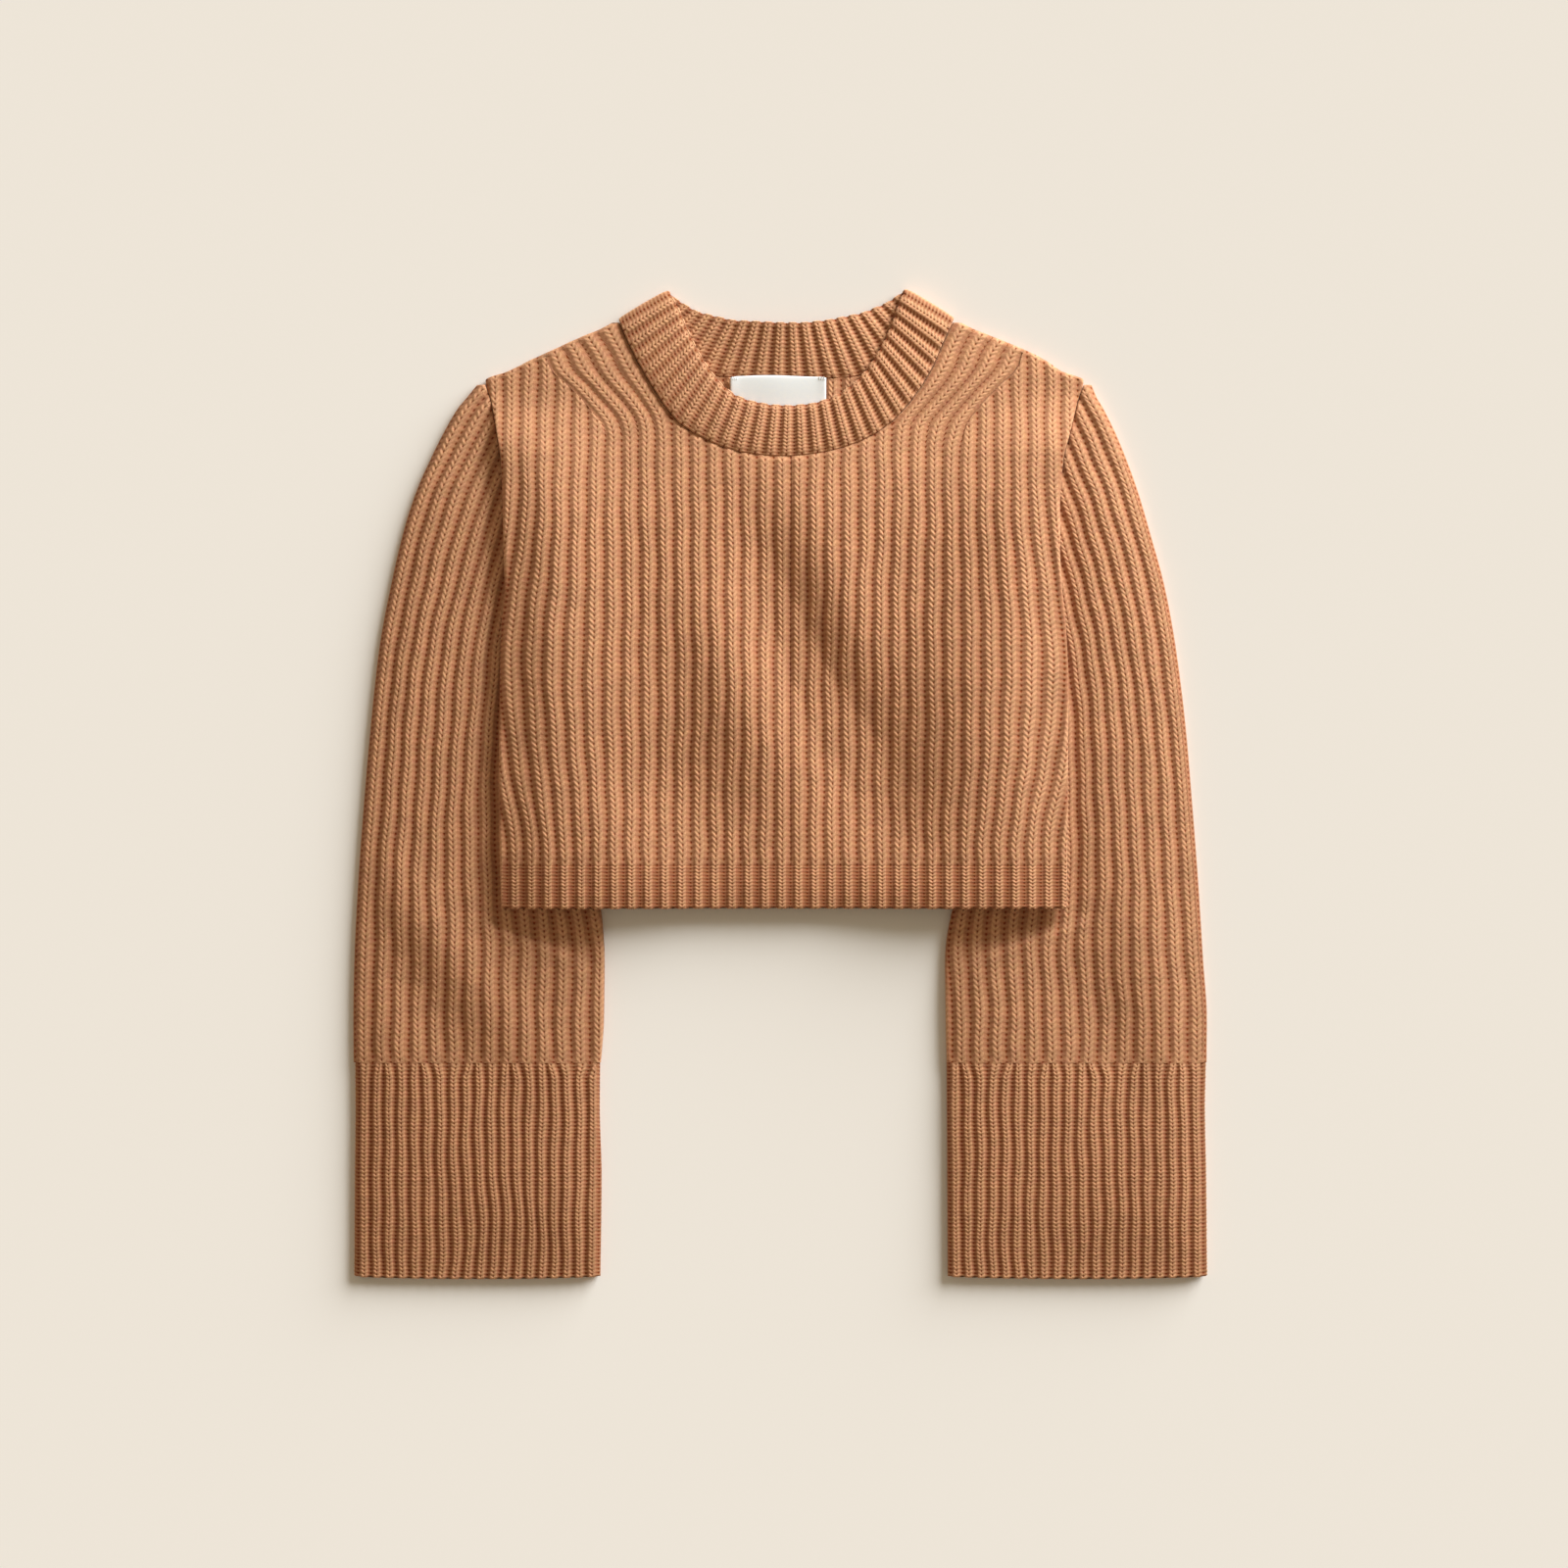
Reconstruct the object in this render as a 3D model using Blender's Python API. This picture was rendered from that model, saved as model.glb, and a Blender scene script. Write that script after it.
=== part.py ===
"""Cropped crew-neck sweater in chunky rib knit, laid flat on its back with its arms folded down.

Every piece that a knitter joins is one closed wall of cloth: front, back, two hem ribs, two
sleeves, two cuffs, the neckband and the label. A wall is lofted through closed sections that
lie across the garment. On its outer face a section follows the ribs, three points to a rib,
and inside it is plain.

The tables are in millimetres. +Y points to the collar, +Z is up, and the surface that the
garment lies on is Z = 0. "low" is the -X side, the wearer's right, and "high" is the +X side.
"""
import bmesh
import bpy
import numpy as np

GARMENT = "cropped_knit_sweater"
MM = 0.001

# ---- the cloth
CLOTH = 2.4             # wall of the knit, without its raised ribs
LAYER_AIR = 1.2         # air between the upper and the lower layer where they lie closest
SEAM_GAP = 0.3          # gap between two pieces that are sewn or linked together
BODY_RIB = 1.3          # height of a rib on front, back and sleeves
CUFF_RIB = 1.0          # height of a rib on cuffs, hem and neckband
CREST = 0.29            # half the width of a rib's flat top, as a share of the rib's pitch
LAYERS = 2 * CLOTH + LAYER_AIR        # height of two layers, without their ribs
ROUND = LAYERS / 2 - SEAM_GAP / 2     # radius of an edge where two layers are sewn together
ROUND_INSIDE = LAYER_AIR / 2 - SEAM_GAP / 2
ROUND_COLUMNS = (0.0, 0.25, 1.0, 2.85)    # distances from an edge at which its rounding has points
OPEN_ROUNDING = 0.35    # share of that rounding on an edge that stays open

# ---- the body
CENTRE = 2.3            # X of the body's centre line
RIB_CENTRE = 1.3        # X of the middle rib
HEM_EDGE = -82.2        # Y of the lower edge
HEM_SEAM = -53.6        # Y where the hem rib ends
NECK_LOW = (5.8, 217.4)       # lowest point of the front neck seam
BACK_NECK_LOW = (2.6, 268.9)  # lowest point of the back neck seam
NECK_ROOM = (0.3, 0.45)       # how far a panel stays clear of its neck seam, in X and in Y
LIFT = LAYERS + BODY_RIB + 0.4        # height of the body where it lies on a sleeve
LIFT_MARGIN = 2.0       # how far past a sleeve's edge the body comes before it turns down
LIFT_SLOPE = 24.0       # width over which the body then comes down to the floor
LIFT_START = 262.0      # Y on the armhole where the body's edge begins to rise
LIFT_FULL = 216.0       # Y on the armhole where it lies on the sleeve
HUG_FIRST = 6.5         # the ribs between these two numbers turn and follow the neck seam
HUG_LAST = 10.5
OUTER_RIB = 18.0        # number that no rib of the body reaches

# Outline of the body, from the hem up the side seam, the armhole and the shoulder.
OUTLINE_COLUMNS = ("y", "low", "high")
OUTLINE = (
    (-82.2, -184.4, 189.4),
    (-53.6, -185.3, 190.0),
    (0.0, -185.9, 190.5),
    (65.0, -185.6, 190.8),
    (104.0, -184.6, 189.2),
    (130.0, -182.3, 186.6),
    (156.0, -183.0, 185.3),
    (182.0, -183.6, 185.3),
    (214.5, -184.9, 187.5),
    (234.0, -187.9, 192.4),
    (254.0, -191.8, 197.6),
    (268.4, -195.7, 201.6),
    (274.3, -180.7, 187.2),
    (282.1, -165.1, 175.5),
    (289.2, -149.5, 161.2),
    (296.4, -133.9, 143.6),
    (302.9, -118.3, 127.5),
    (308.8, -107.6, 116.0),
)

# How far the two layers close round the body's edge: 1 at a side or shoulder seam, 0 where the
# armhole lets the sleeve in.
CLOSING_COLUMNS = ("y", "share")
CLOSING = (
    (190.0, 1.0),
    (212.0, 0.6),
    (228.0, 0.0),
    (256.0, 0.0),
    (266.0, 0.5),
    (272.0, 1.0),
)

# Pitch of the body's ribs, and how much more the outer ones spread, which grows as the cube of
# the rib's number.
RIBS_COLUMNS = ("y", "pitch", "spread")
RIBS = (
    (-82.2, 11.02, 0.0),
    (-45.0, 11.02, 0.0),
    (20.0, 10.85, 0.0035),
    (78.0, 10.66, 0.0058),
    (130.0, 10.85, 0.0035),
    (182.0, 11.15, 0.0005),
    (215.0, 11.21, 0.0),
    (310.0, 11.21, 0.0),
)

# Line on which the upright ribs end against the ribs that hug the neck, as its distance from
# the body's centre line.
SHAPING_COLUMNS = ("y", "reach")
SHAPING = (
    (217.0, 118.2),
    (234.0, 118.6),
    (244.4, 123.2),
    (254.2, 132.9),
    (263.9, 143.0),
    (273.0, 153.0),
    (278.2, 156.3),
    (284.7, 158.3),
    (292.5, 164.8),
    (300.3, 173.2),
    (308.8, 183.0),
)

# Neck seams and the free edge of the neckband, from the low shoulder to the high one.
FRONT_NECK = (
    (-107.6, 308.8),
    (-101.4, 293.8),
    (-94.9, 280.8),
    (-86.8, 266.8),
    (-76.7, 250.9),
    (-67.6, 239.9),
    (-56.9, 232.7),
    (-42.0, 225.2),
    (-27.0, 220.4),
    (-10.4, 217.9),
    (5.8, 217.4),
    (22.1, 218.9),
    (37.1, 221.9),
    (51.4, 226.6),
    (64.4, 233.2),
    (75.9, 241.9),
    (84.8, 251.9),
    (93.8, 263.9),
    (101.7, 277.8),
    (107.7, 291.7),
    (111.8, 301.0),
    (116.0, 309.4),
)
BACK_NECK = (
    (-107.6, 308.8),
    (-103.5, 303.0),
    (-91.7, 291.2),
    (-70.2, 277.2),
    (-39.7, 270.4),
    (2.6, 268.9),
    (45.5, 269.8),
    (77.4, 276.9),
    (100.1, 291.2),
    (111.5, 302.5),
    (116.0, 309.4),
)
BAND_FRONT_EDGE = (
    (-73.8, 327.3),
    (-67.9, 317.5),
    (-61.9, 303.6),
    (-54.9, 288.6),
    (-46.9, 275.6),
    (-38.0, 264.8),
    (-29.9, 258.4),
    (-20.8, 254.7),
    (-7.2, 251.9),
    (7.8, 251.2),
    (22.1, 252.7),
    (32.5, 255.9),
    (42.0, 260.8),
    (50.1, 267.2),
    (57.2, 274.8),
    (63.9, 284.7),
    (69.9, 295.8),
    (74.4, 306.0),
    (78.0, 317.0),
    (82.6, 328.3),
)
BAND_BACK_EDGE = (
    (-73.8, 327.3),
    (-70.2, 323.5),
    (-62.4, 318.5),
    (-54.6, 314.0),
    (-31.2, 308.1),
    (0.0, 306.2),
    (15.6, 306.2),
    (31.2, 308.1),
    (54.6, 313.3),
    (70.2, 319.8),
    (78.5, 325.2),
    (82.6, 328.3),
)

# ---- the sleeves and cuffs
CUFF_SEAM = -184.9      # Y where the sleeve begins, above its cuff
CUFF_EDGE = -328.3      # Y of a cuff's lower edge at its middle
CUFF_BOW = 1.4          # how much higher a cuff's edge lies at its two corners
CUFF_PITCH = 8.4
TUCK = 218.0            # Y below which the sleeve slips beneath the body's edge
FOLD_AXIS = LAYERS / 2  # distance from a sleeve's fold to the line that the cloth turns round
SLEEVE_PHASE = 0.58     # where the first rib lies, counted in ribs from the outer fold
CUFF_PHASE = 0.75

# Outer fold and underarm edge of both sleeves, and the pitch of their ribs.
SLEEVE_COLUMNS = ("y", "low_outer", "low_inner", "high_inner", "high_outer", "pitch")
SLEEVE = (
    (-184.9, -283.2, -119.0, 110.6, 283.2, 12.0),
    (-156.0, -283.4, -117.0, 110.0, 283.4, 12.0),
    (-117.0, -282.7, -116.6, 109.6, 280.9, 12.0),
    (-65.0, -280.1, -121.5, 119.0, 277.6, 11.3),
    (-13.0, -276.3, -138.4, 140.4, 273.6, 10.75),
    (39.0, -271.7, -153.4, 156.0, 269.1, 10.4),
    (91.0, -265.9, -164.4, 167.0, 262.6, 10.3),
    (130.0, -258.7, -171.6, 174.2, 255.5, 10.5),
    (169.0, -249.6, -177.6, 179.6, 245.0, 10.8),
    (195.0, -241.2, -181.6, 183.4, 237.3, 11.0),
    (218.4, -230.8, -185.9, 188.9, 228.8, 11.2),
    (234.0, -223.0, -188.3, 192.8, 222.3, 11.2),
    (249.6, -213.9, -191.3, 196.9, 214.5, 11.2),
    (257.4, -207.4, -193.0, 199.0, 209.9, 11.2),
    (265.0, -201.4, -195.4, 201.4, 206.9, 11.2),
)
CUFF_COLUMNS = ("y", "low_outer", "low_inner", "high_inner", "high_outer", "pitch")
CUFF = (
    (-328.3, -282.4, -119.4, 111.4, 283.2, CUFF_PITCH),
    (-260.0, -282.0, -118.6, 111.0, 282.6, CUFF_PITCH),
    (-215.0, -281.6, -119.8, 110.8, 281.8, CUFF_PITCH),
    (-184.9, -281.8, -119.6, 110.6, 282.4, CUFF_PITCH),
)

# ---- folds: soft crests (rise above 0) and troughs (rise below 0) of the upper layer. "long" and
# "wide" are the spreads along and across a fold, and "turn" is the angle in degrees from +Y
# towards +X of its long direction.
FOLD_COLUMNS = ("x", "y", "long", "wide", "turn", "rise")
BODY_FOLDS = (
    (2.6, 117.0, 49.0, 17.0, 159.0, -2.6),
    (46.0, 14.0, 52.0, 23.0, 152.0, -3.0),
    (126.0, 62.0, 70.0, 30.0, 0.0, 2.6),
    (-111.0, 104.0, 60.0, 46.0, 0.0, 1.8),
    (-33.0, 42.0, 42.0, 17.0, 160.0, 2.2),
    (38.0, 117.0, 42.0, 14.0, 175.0, 1.5),
    (-62.0, 186.0, 42.0, 34.0, 150.0, -1.5),
    (-90.0, 8.0, 40.0, 26.0, 90.0, -1.2),
)
SLEEVE_FOLDS = (
    (-214.0, -118.0, 62.0, 14.0, 141.0, 1.3),
    (-240.0, -140.0, 40.0, 14.0, 150.0, -0.9),
    (-176.0, -262.0, 46.0, 40.0, 150.0, 0.9),
    (240.0, -118.0, 70.0, 15.0, 170.0, 1.3),
    (206.0, -150.0, 40.0, 16.0, 150.0, -0.8),
    (222.0, -258.0, 48.0, 40.0, 150.0, 0.9),
)
BODY_EASE = 2.0         # mean slack of the upper layer in the middle of the body
SLEEVE_EASE = 1.2       # mean slack of the upper layer in the middle of a sleeve or cuff
BACK_START = 2.1        # slack of the front above which the back rises with it
BACK_SOFT = 0.6         # how softly the back leaves the floor there

# ---- the neckband
BAND_RIBS_FRONT = 29
BAND_RIBS_BACK = 20
BAND_FRONT_Z = (5.0, 6.7)    # middle of the front half's wall, at the seam and at the free edge
BAND_BACK_Z = (1.2, 1.2)     # the same of the back half
BAND_ROWS = 3           # points across the band
BAND_TURNS = (45.0, 90.0, 135.0)      # angles at which the side folds have a section
BAND_FADE = 8.0         # length over which the ribs die away into the side folds

# ---- the label
LABEL_X = (-32.8, 30.2)
LABEL_Y = (233.0, 268.4)
LABEL_THICK = 0.5

# ---- sections, as their Y. Beside the neck they lie where its seam turns.
BODY_ROWS = (-53.3, -22.0, 10.0, 40.0, 70.0, 100.0, 130.0, 160.0, 190.0, 206.0)
YOKE_ROWS = {
    "low": (217.45, 219.95, 224.75, 232.25, 239.45, 250.45, 259.0, 268.4, 274.3, 281.2, 289.2,
            296.4, 302.0, 305.8),
    "high": (218.45, 221.45, 226.15, 232.75, 241.45, 251.45, 260.5, 268.4, 274.3, 281.2, 290.5,
             298.0, 302.4, 305.8),
}
BACK_ROWS = (218.0, 234.0, 254.0, 262.0)
BACK_YOKE_ROWS = {
    "low": (269.95, 276.75, 284.0, 290.75, 297.0, 302.55, 306.0),
    "high": (269.35, 276.45, 284.0, 290.75, 297.0, 302.05, 306.0),
}
HEM_ROWS = (HEM_EDGE, -67.0, HEM_SEAM)
SLEEVE_ROWS = (CUFF_SEAM, -155.0, -130.0, -107.0, -84.0, -58.0, -28.0, 5.0, 39.0, 80.0, 120.0, 155.0,
               185.0, 203.0, 218.4, 234.0, 246.0, 257.4, 265.0)
CUFF_ROWS = (CUFF_EDGE, -314.0, -280.0, -240.0, CUFF_SEAM - SEAM_GAP)

# A plain face's columns, counted from -4 at the low outline to 4 at the high one: 3 is the edge of
# the sleeve beneath, 2 is where the body has come down from it, and 0 is the centre line.
PLAIN_COLUMNS = (-3.75, -3.4, -3.0, -2.8, -2.64, -2.48, -2.32, -2.16, -2.0, -1.7, -1.42, -1.14,
                 -0.86, -0.57, -0.29)
FAR = 1000.0            # key that stands for the end of a row

CASHMERE = (0.62, 0.35, 0.19, 1.0)
LABEL_WHITE = (0.86, 0.86, 0.85, 1.0)


def column(table, names, name):
    """One named column of a table, as an array."""
    return np.array([row[names.index(name)] for row in table], dtype=float)


def smooth(knots, values, at):
    """A cubic through the knots that never overshoots them, read at the given places."""
    step = np.diff(knots)
    slope = np.diff(values) / step
    before, after = slope[:-1], slope[1:]
    total = np.where(before + after == 0, 1.0, before + after)
    inner = np.where(before * after > 0, 2 * before * after / total, 0.0)
    tangent = np.concatenate(([slope[0]], inner, [slope[-1]]))
    place = np.clip(np.searchsorted(knots, at) - 1, 0, len(knots) - 2)
    run = step[place]
    t = np.clip((at - knots[place]) / run, 0.0, 1.0)
    bend = run * t * (1 - t) * (tangent[place] * (1 - t) - tangent[place + 1] * t)
    return values[place] * (1 + 2 * t) * (1 - t) ** 2 + values[place + 1] * t * t * (3 - 2 * t) + bend


def read(table, names, name, y):
    """A table's column at the height y."""
    return smooth(column(table, names, "y"), column(table, names, name), np.asarray(y, dtype=float))


def ease(t):
    """0 below 0, 1 above 1, and a smooth step between."""
    t = np.clip(t, 0.0, 1.0)
    return t * t * (3 - 2 * t)


def rib_height(number):
    """Share of a rib's height: 1 on its flat top, 0 in the middle of the valley beside it."""
    away = np.abs(number - np.round(number))
    return ease((0.5 - away) / (0.5 - CREST))


def rib_numbers(start, end):
    """Numbers of the points that follow the ribs: both edges of a rib's top, and the valley."""
    whole = np.arange(np.floor(start) - 1, np.ceil(end) + 2)
    numbers = np.sort(np.concatenate((whole - CREST, whole + CREST, whole + 0.5)))
    return numbers[(numbers > start) & (numbers < end)]


def folds(table, x, y):
    """Sum of the soft crests and troughs in a table."""
    total = 0.0 * x
    for cx, cy, long, wide, turn, rise in table:
        angle = np.radians(turn)
        along = (x - cx) * np.sin(angle) + (y - cy) * np.cos(angle)
        across = (x - cx) * np.cos(angle) - (y - cy) * np.sin(angle)
        total = total + rise * np.exp(-0.5 * ((along / long) ** 2 + (across / wide) ** 2))
    return total


def above_zero(slack):
    """The slack where it is positive, and close to 0 where it is not, without a crease."""
    soft = 0.45
    return 0.5 * (slack + np.sqrt(slack * slack + soft * soft)) - 0.5 * soft


def rounding(distance, radius):
    """Drop of a rounded edge at a distance from it: a quarter circle."""
    inside = np.clip(radius - distance, 0.0, radius)
    return radius - np.sqrt(radius * radius - inside * inside)


# ---------------------------------------------------------------- surfaces of body and sleeves

def outline(side, y):
    """X of the body's outline on one side."""
    return read(OUTLINE, OUTLINE_COLUMNS, side, y)


def edge_cosine(side, y):
    """Cosine of the angle between the outline's normal and the X axis."""
    reach = 0.5
    rate = (outline(side, y + reach) - outline(side, y - reach)) / (2 * reach)
    return 1 / np.sqrt(1 + rate * rate)


def sleeve_x(name, y):
    """X of a sleeve's fold or underarm edge. Along the armhole the edge follows the body."""
    x = read(SLEEVE, SLEEVE_COLUMNS, name, y)
    side, edge = name.split("_")
    if edge == "inner":
        away = -1 if side == "low" else 1
        x = np.where(np.asarray(y) > TUCK, outline(side, y) + 1.5 * away * SEAM_GAP, x)
    return x


def body_lift(x, y):
    """Height of the back where it lies on the sleeves."""
    from_low = (x - sleeve_x("low_inner", y) - LIFT_MARGIN) / LIFT_SLOPE
    from_high = (sleeve_x("high_inner", y) - x - LIFT_MARGIN) / LIFT_SLOPE
    rise = (LIFT_START - y) / (LIFT_START - LIFT_FULL)
    return LIFT * ease(rise) * (1 - ease(np.minimum(from_low, from_high)))


def body_slack(x, y):
    """How far the front stands off its closest place: the mean slack with the folds on it."""
    side = np.minimum(x - outline("low", y), outline("high", y) - x)
    window = ease(side / 34.0) * ease((y - HEM_EDGE + 18.0) / 60.0) * ease((258.0 - y) / 90.0)
    return above_zero(window * (BODY_EASE + folds(BODY_FOLDS, x, y)))


def sleeve_slack(side, x, y):
    """The same for a sleeve or cuff. Under the body there is none."""
    away = 1 if side == "low" else -1
    under = ease((HEM_EDGE - 2.0 - y) / 40.0)
    limit = outline(side, y) * (1 - under) + sleeve_x(side + "_inner", y) * under
    window = ease(away * (limit - x) / 24.0) * ease(away * (x - sleeve_x(side + "_outer", y)) / 26.0)
    window = window * (0.25 + 0.75 * ease((y - CUFF_EDGE) / 50.0)) * ease((240.0 - y) / 60.0)
    return above_zero(window * (SLEEVE_EASE + folds(SLEEVE_FOLDS, x, y)))


def back_rise(slack):
    """How far the back leaves the floor under a crest of the front."""
    over = np.maximum(slack - BACK_START, 0.0)
    return over * over / (over + BACK_SOFT)


def edge_distance(x, y):
    """Distance from the body's nearer outline, measured across it."""
    low = (x - outline("low", y)) * edge_cosine("low", y)
    high = (outline("high", y) - x) * edge_cosine("high", y)
    return np.maximum(np.minimum(low, high), 0.0)


def layer_z(face, distance, share):
    """Height of one face of two layers of cloth that are closed round an edge.

    The faces are "back_out", "back_in", "front_in" and "front_out". Round the edge the outer
    faces follow a quarter circle and the inner ones a smaller one about the same centre, so
    that the wall keeps its thickness. share is 1 for a sewn edge and 0 for an open one.
    """
    outer = (OPEN_ROUNDING + (1 - OPEN_ROUNDING) * share) * rounding(distance, ROUND)
    inner = share * rounding(distance - CLOTH, ROUND_INSIDE)
    heights = {
        "back_out": outer,
        "back_in": CLOTH + inner,
        "front_in": LAYERS - CLOTH - inner,
        "front_out": LAYERS - outer,
    }
    return heights[face]


def body_z(face, x, y):
    """Height of one of the body's four faces, without ribs."""
    slack = body_slack(x, y)
    share = read(CLOSING, CLOSING_COLUMNS, "share", y)
    height = body_lift(x, y) + layer_z(face, edge_distance(x, y), share)
    return height + (slack if face.startswith("front") else back_rise(slack))


def body_rib_x(number, y):
    """X of an upright rib of the body."""
    pitch = read(RIBS, RIBS_COLUMNS, "pitch", y)
    spread = read(RIBS, RIBS_COLUMNS, "spread", y)
    return RIB_CENTRE + pitch * number + spread * number ** 3


def neck_x(curve, side, y):
    """X of a panel's neck edge at the height y, clear of the neck seam."""
    points = np.array(curve)
    lowest = int(np.argmin(points[:, 1]))
    half = points[lowest::-1] if side == "low" else points[lowest:]
    away = -1 if side == "low" else 1
    return float(np.interp(y + NECK_ROOM[1], half[:, 1], half[:, 0])) + away * NECK_ROOM[0]


def shaping_x(side, y):
    """X of the line where the upright ribs end beside the neck."""
    reach = read(SHAPING, SHAPING_COLUMNS, "reach", y)
    return CENTRE - reach if side == "low" else CENTRE + reach


# ---------------------------------------------------------------- a wall and its sections

class Wall:
    """One closed wall of cloth, gathered section by section.

    A section is a pair of rows, the outer face's points and the inner face's. A row is its
    keys, its places and its point numbers. Two sections are matched by key, and the two rows
    of an end section by place.
    """

    def __init__(self):
        self.points = []
        self.faces = []

    def row(self, keys, places, points):
        """Add the points of one row."""
        first = len(self.points)
        self.points.extend(tuple(map(float, point)) for point in points)
        return list(keys), list(places), list(range(first, first + len(points)))

    def stitch(self, keys_one, one, keys_two, two):
        """Faces between two rows of points, each step taken on the row whose next key is lower."""
        i = j = 0
        while i < len(one) - 1 or j < len(two) - 1:
            next_one = keys_one[i + 1] if i < len(one) - 1 else np.inf
            next_two = keys_two[j + 1] if j < len(two) - 1 else np.inf
            if abs(next_one - next_two) < 1e-6:
                self.faces.append((one[i], one[i + 1], two[j + 1], two[j]))
                i, j = i + 1, j + 1
            elif next_one < next_two:
                self.faces.append((one[i], one[i + 1], two[j]))
                i = i + 1
            else:
                self.faces.append((one[i], two[j + 1], two[j]))
                j = j + 1

    def join(self, one, two):
        """Both faces and both end rims between two sections."""
        for row_one, row_two in zip(one, two):
            self.stitch(row_one[0], row_one[2], row_two[0], row_two[2])
        for end in (0, -1):
            self.faces.append((one[0][2][end], two[0][2][end], two[1][2][end], one[1][2][end]))

    def close(self, section):
        """The end face of a loft, between the two rows of its last section."""
        outer, inner = section
        self.stitch(outer[1], outer[2], inner[1], inner[2])

    def loft(self, sections):
        """A wall through the sections in turn."""
        for one, two in zip(sections[:-1], sections[1:]):
            self.join(one, two)


def part_of(section, place, side):
    """The part of a section on one side of a place where it has a point."""
    rows = []
    for keys, places, numbers in section:
        split = int(np.argmin(np.abs(np.array(places) - place)))
        if side == "low":
            rows.append((keys[:split] + [FAR], places[:split + 1], numbers[:split + 1]))
        else:
            rows.append(([-FAR] + keys[split + 1:], places[split:], numbers[split:]))
    return rows


def front_ribs(y):
    """Numbers and X of the points that follow the ribs in one section of the front."""
    numbers = rib_numbers(-OUTER_RIB, OUTER_RIB)
    if y < NECK_LOW[1]:
        return numbers, body_rib_x(numbers, y)
    found_numbers, found_x = [], []
    for side, sign in (("low", -1), ("high", 1)):
        near = float(body_rib_x(sign * HUG_FIRST, y))
        seam = neck_x(FRONT_NECK, side, y)
        near = min(near, seam) if sign < 0 else max(near, seam)
        line = float(shaping_x(side, y))
        mine = numbers[sign * numbers > 0]
        counted = sign * mine
        upright_x = body_rib_x(mine, y)
        hugging_x = near + (line - near) * (counted - HUG_FIRST) / (HUG_LAST - HUG_FIRST)
        hugging = (counted > HUG_FIRST - 0.01) & (counted < HUG_LAST - 0.01)
        upright = (counted > HUG_LAST - 0.01) & (sign * (upright_x - line) > 1.5)
        middle = (counted < HUG_FIRST - 0.01) & (sign * (near - upright_x) > 1.0)
        x = np.where(hugging, hugging_x, upright_x)
        keep = hugging | upright | middle
        found_numbers.append(mine[keep])
        found_x.append(x[keep])
    return np.concatenate(found_numbers), np.concatenate(found_x)


def end_columns(side, y, room, rounded):
    """Distances in X from an end of a section at which the outer face has points."""
    if not rounded:
        return np.array([0.0])
    distances = np.array(ROUND_COLUMNS) / edge_cosine(side, y)
    return distances[distances < 0.45 * room]


def inner_inset(side, y, room, rounded):
    """Distance in X from an end of a section at which the inner face begins."""
    if not rounded:
        return 0.0
    share = float(read(CLOSING, CLOSING_COLUMNS, "share", y))
    return min(share * CLOTH / float(edge_cosine(side, y)), 0.3 * room)


def plain_places(y, start, end):
    """Keys and X of a plain face's points between its two ends."""
    low = float(outline("low", y))
    high = float(outline("high", y))
    low_edge = max(float(sleeve_x("low_inner", y)), low)
    high_edge = min(float(sleeve_x("high_inner", y)), high)
    slope = LIFT_MARGIN + LIFT_SLOPE + 4.0
    knots = (low, low_edge, low_edge + slope, CENTRE, high_edge - slope, high_edge, high)
    one_side = np.array(PLAIN_COLUMNS)
    keys = np.concatenate((one_side, [0.0], -one_side[::-1]))
    x = np.interp(keys, (-4, -3, -2, 0, 2, 3, 4), knots)
    inside = (x > start) & (x < end)
    keys, x = keys[inside], x[inside]
    apart = np.diff(x, prepend=-np.inf) > 1.5
    return keys[apart], x[apart]


def with_split(keys, x, extra, split, clearance):
    """The same points with one more at the X of a split, and none too close to it."""
    clear = np.abs(x - split) > clearance
    at = int(np.searchsorted(x[clear], split))
    key = float(np.interp(split, x, keys))
    return (np.insert(keys[clear], at, key), np.insert(x[clear], at, split),
            np.insert(extra[clear], at, 0.5))


def panel_section(wall, panel, y, start, end, rounded, rib, split=None):
    """One section of a front, a back or a hem rib.

    rounded tells for the low and the high end whether it is the body's rounded edge. rib is
    the height of the ribs, 0 on a plain piece. split is an X that gets a point in both rows.
    """
    room = end - start
    low = start + end_columns("low", y, room, rounded[0])
    high = end - end_columns("high", y, room, rounded[1])[::-1]
    if rib > 0:
        numbers, x = front_ribs(y)
        keys, relief = numbers, rib_height(numbers)
    else:
        keys, x = plain_places(y, start, end)
        relief = 0.0 * x
    inside = (x > low[-1] + 1.0) & (x < high[0] - 1.0)
    keys, x, relief = keys[inside], x[inside], relief[inside]
    if split is not None:
        keys, x, relief = with_split(keys, x, relief, split, 1.0)
    ends = [0.0 if rounded[0] else 0.4, 0.0 if rounded[1] else 0.4]
    keys = np.concatenate((-FAR + np.arange(len(low)), keys, FAR - np.arange(len(high))[::-1]))
    places = np.concatenate((low, x, high))
    relief = np.concatenate((0 * low + ends[0], relief, 0 * high + ends[1]))
    z = body_z(panel + "_out", places, y) + rib * relief
    outer = wall.row(keys, places, np.stack((places, 0 * places + y, z), axis=1))

    first = start + inner_inset("low", y, room, rounded[0])
    last = end - inner_inset("high", y, room, rounded[1])
    keys, x = plain_places(y, first + 1.2, last - 1.2)
    if split is not None:
        keys, x, relief = with_split(keys, x, 0 * x, split, 2.0)
    keys = np.concatenate(([-FAR], keys, [FAR]))
    places = np.concatenate(([first], x, [last]))
    z = body_z(panel + "_in", places, y)
    inner = wall.row(keys, places, np.stack((places, 0 * places + y, z), axis=1))
    return outer, inner


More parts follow.
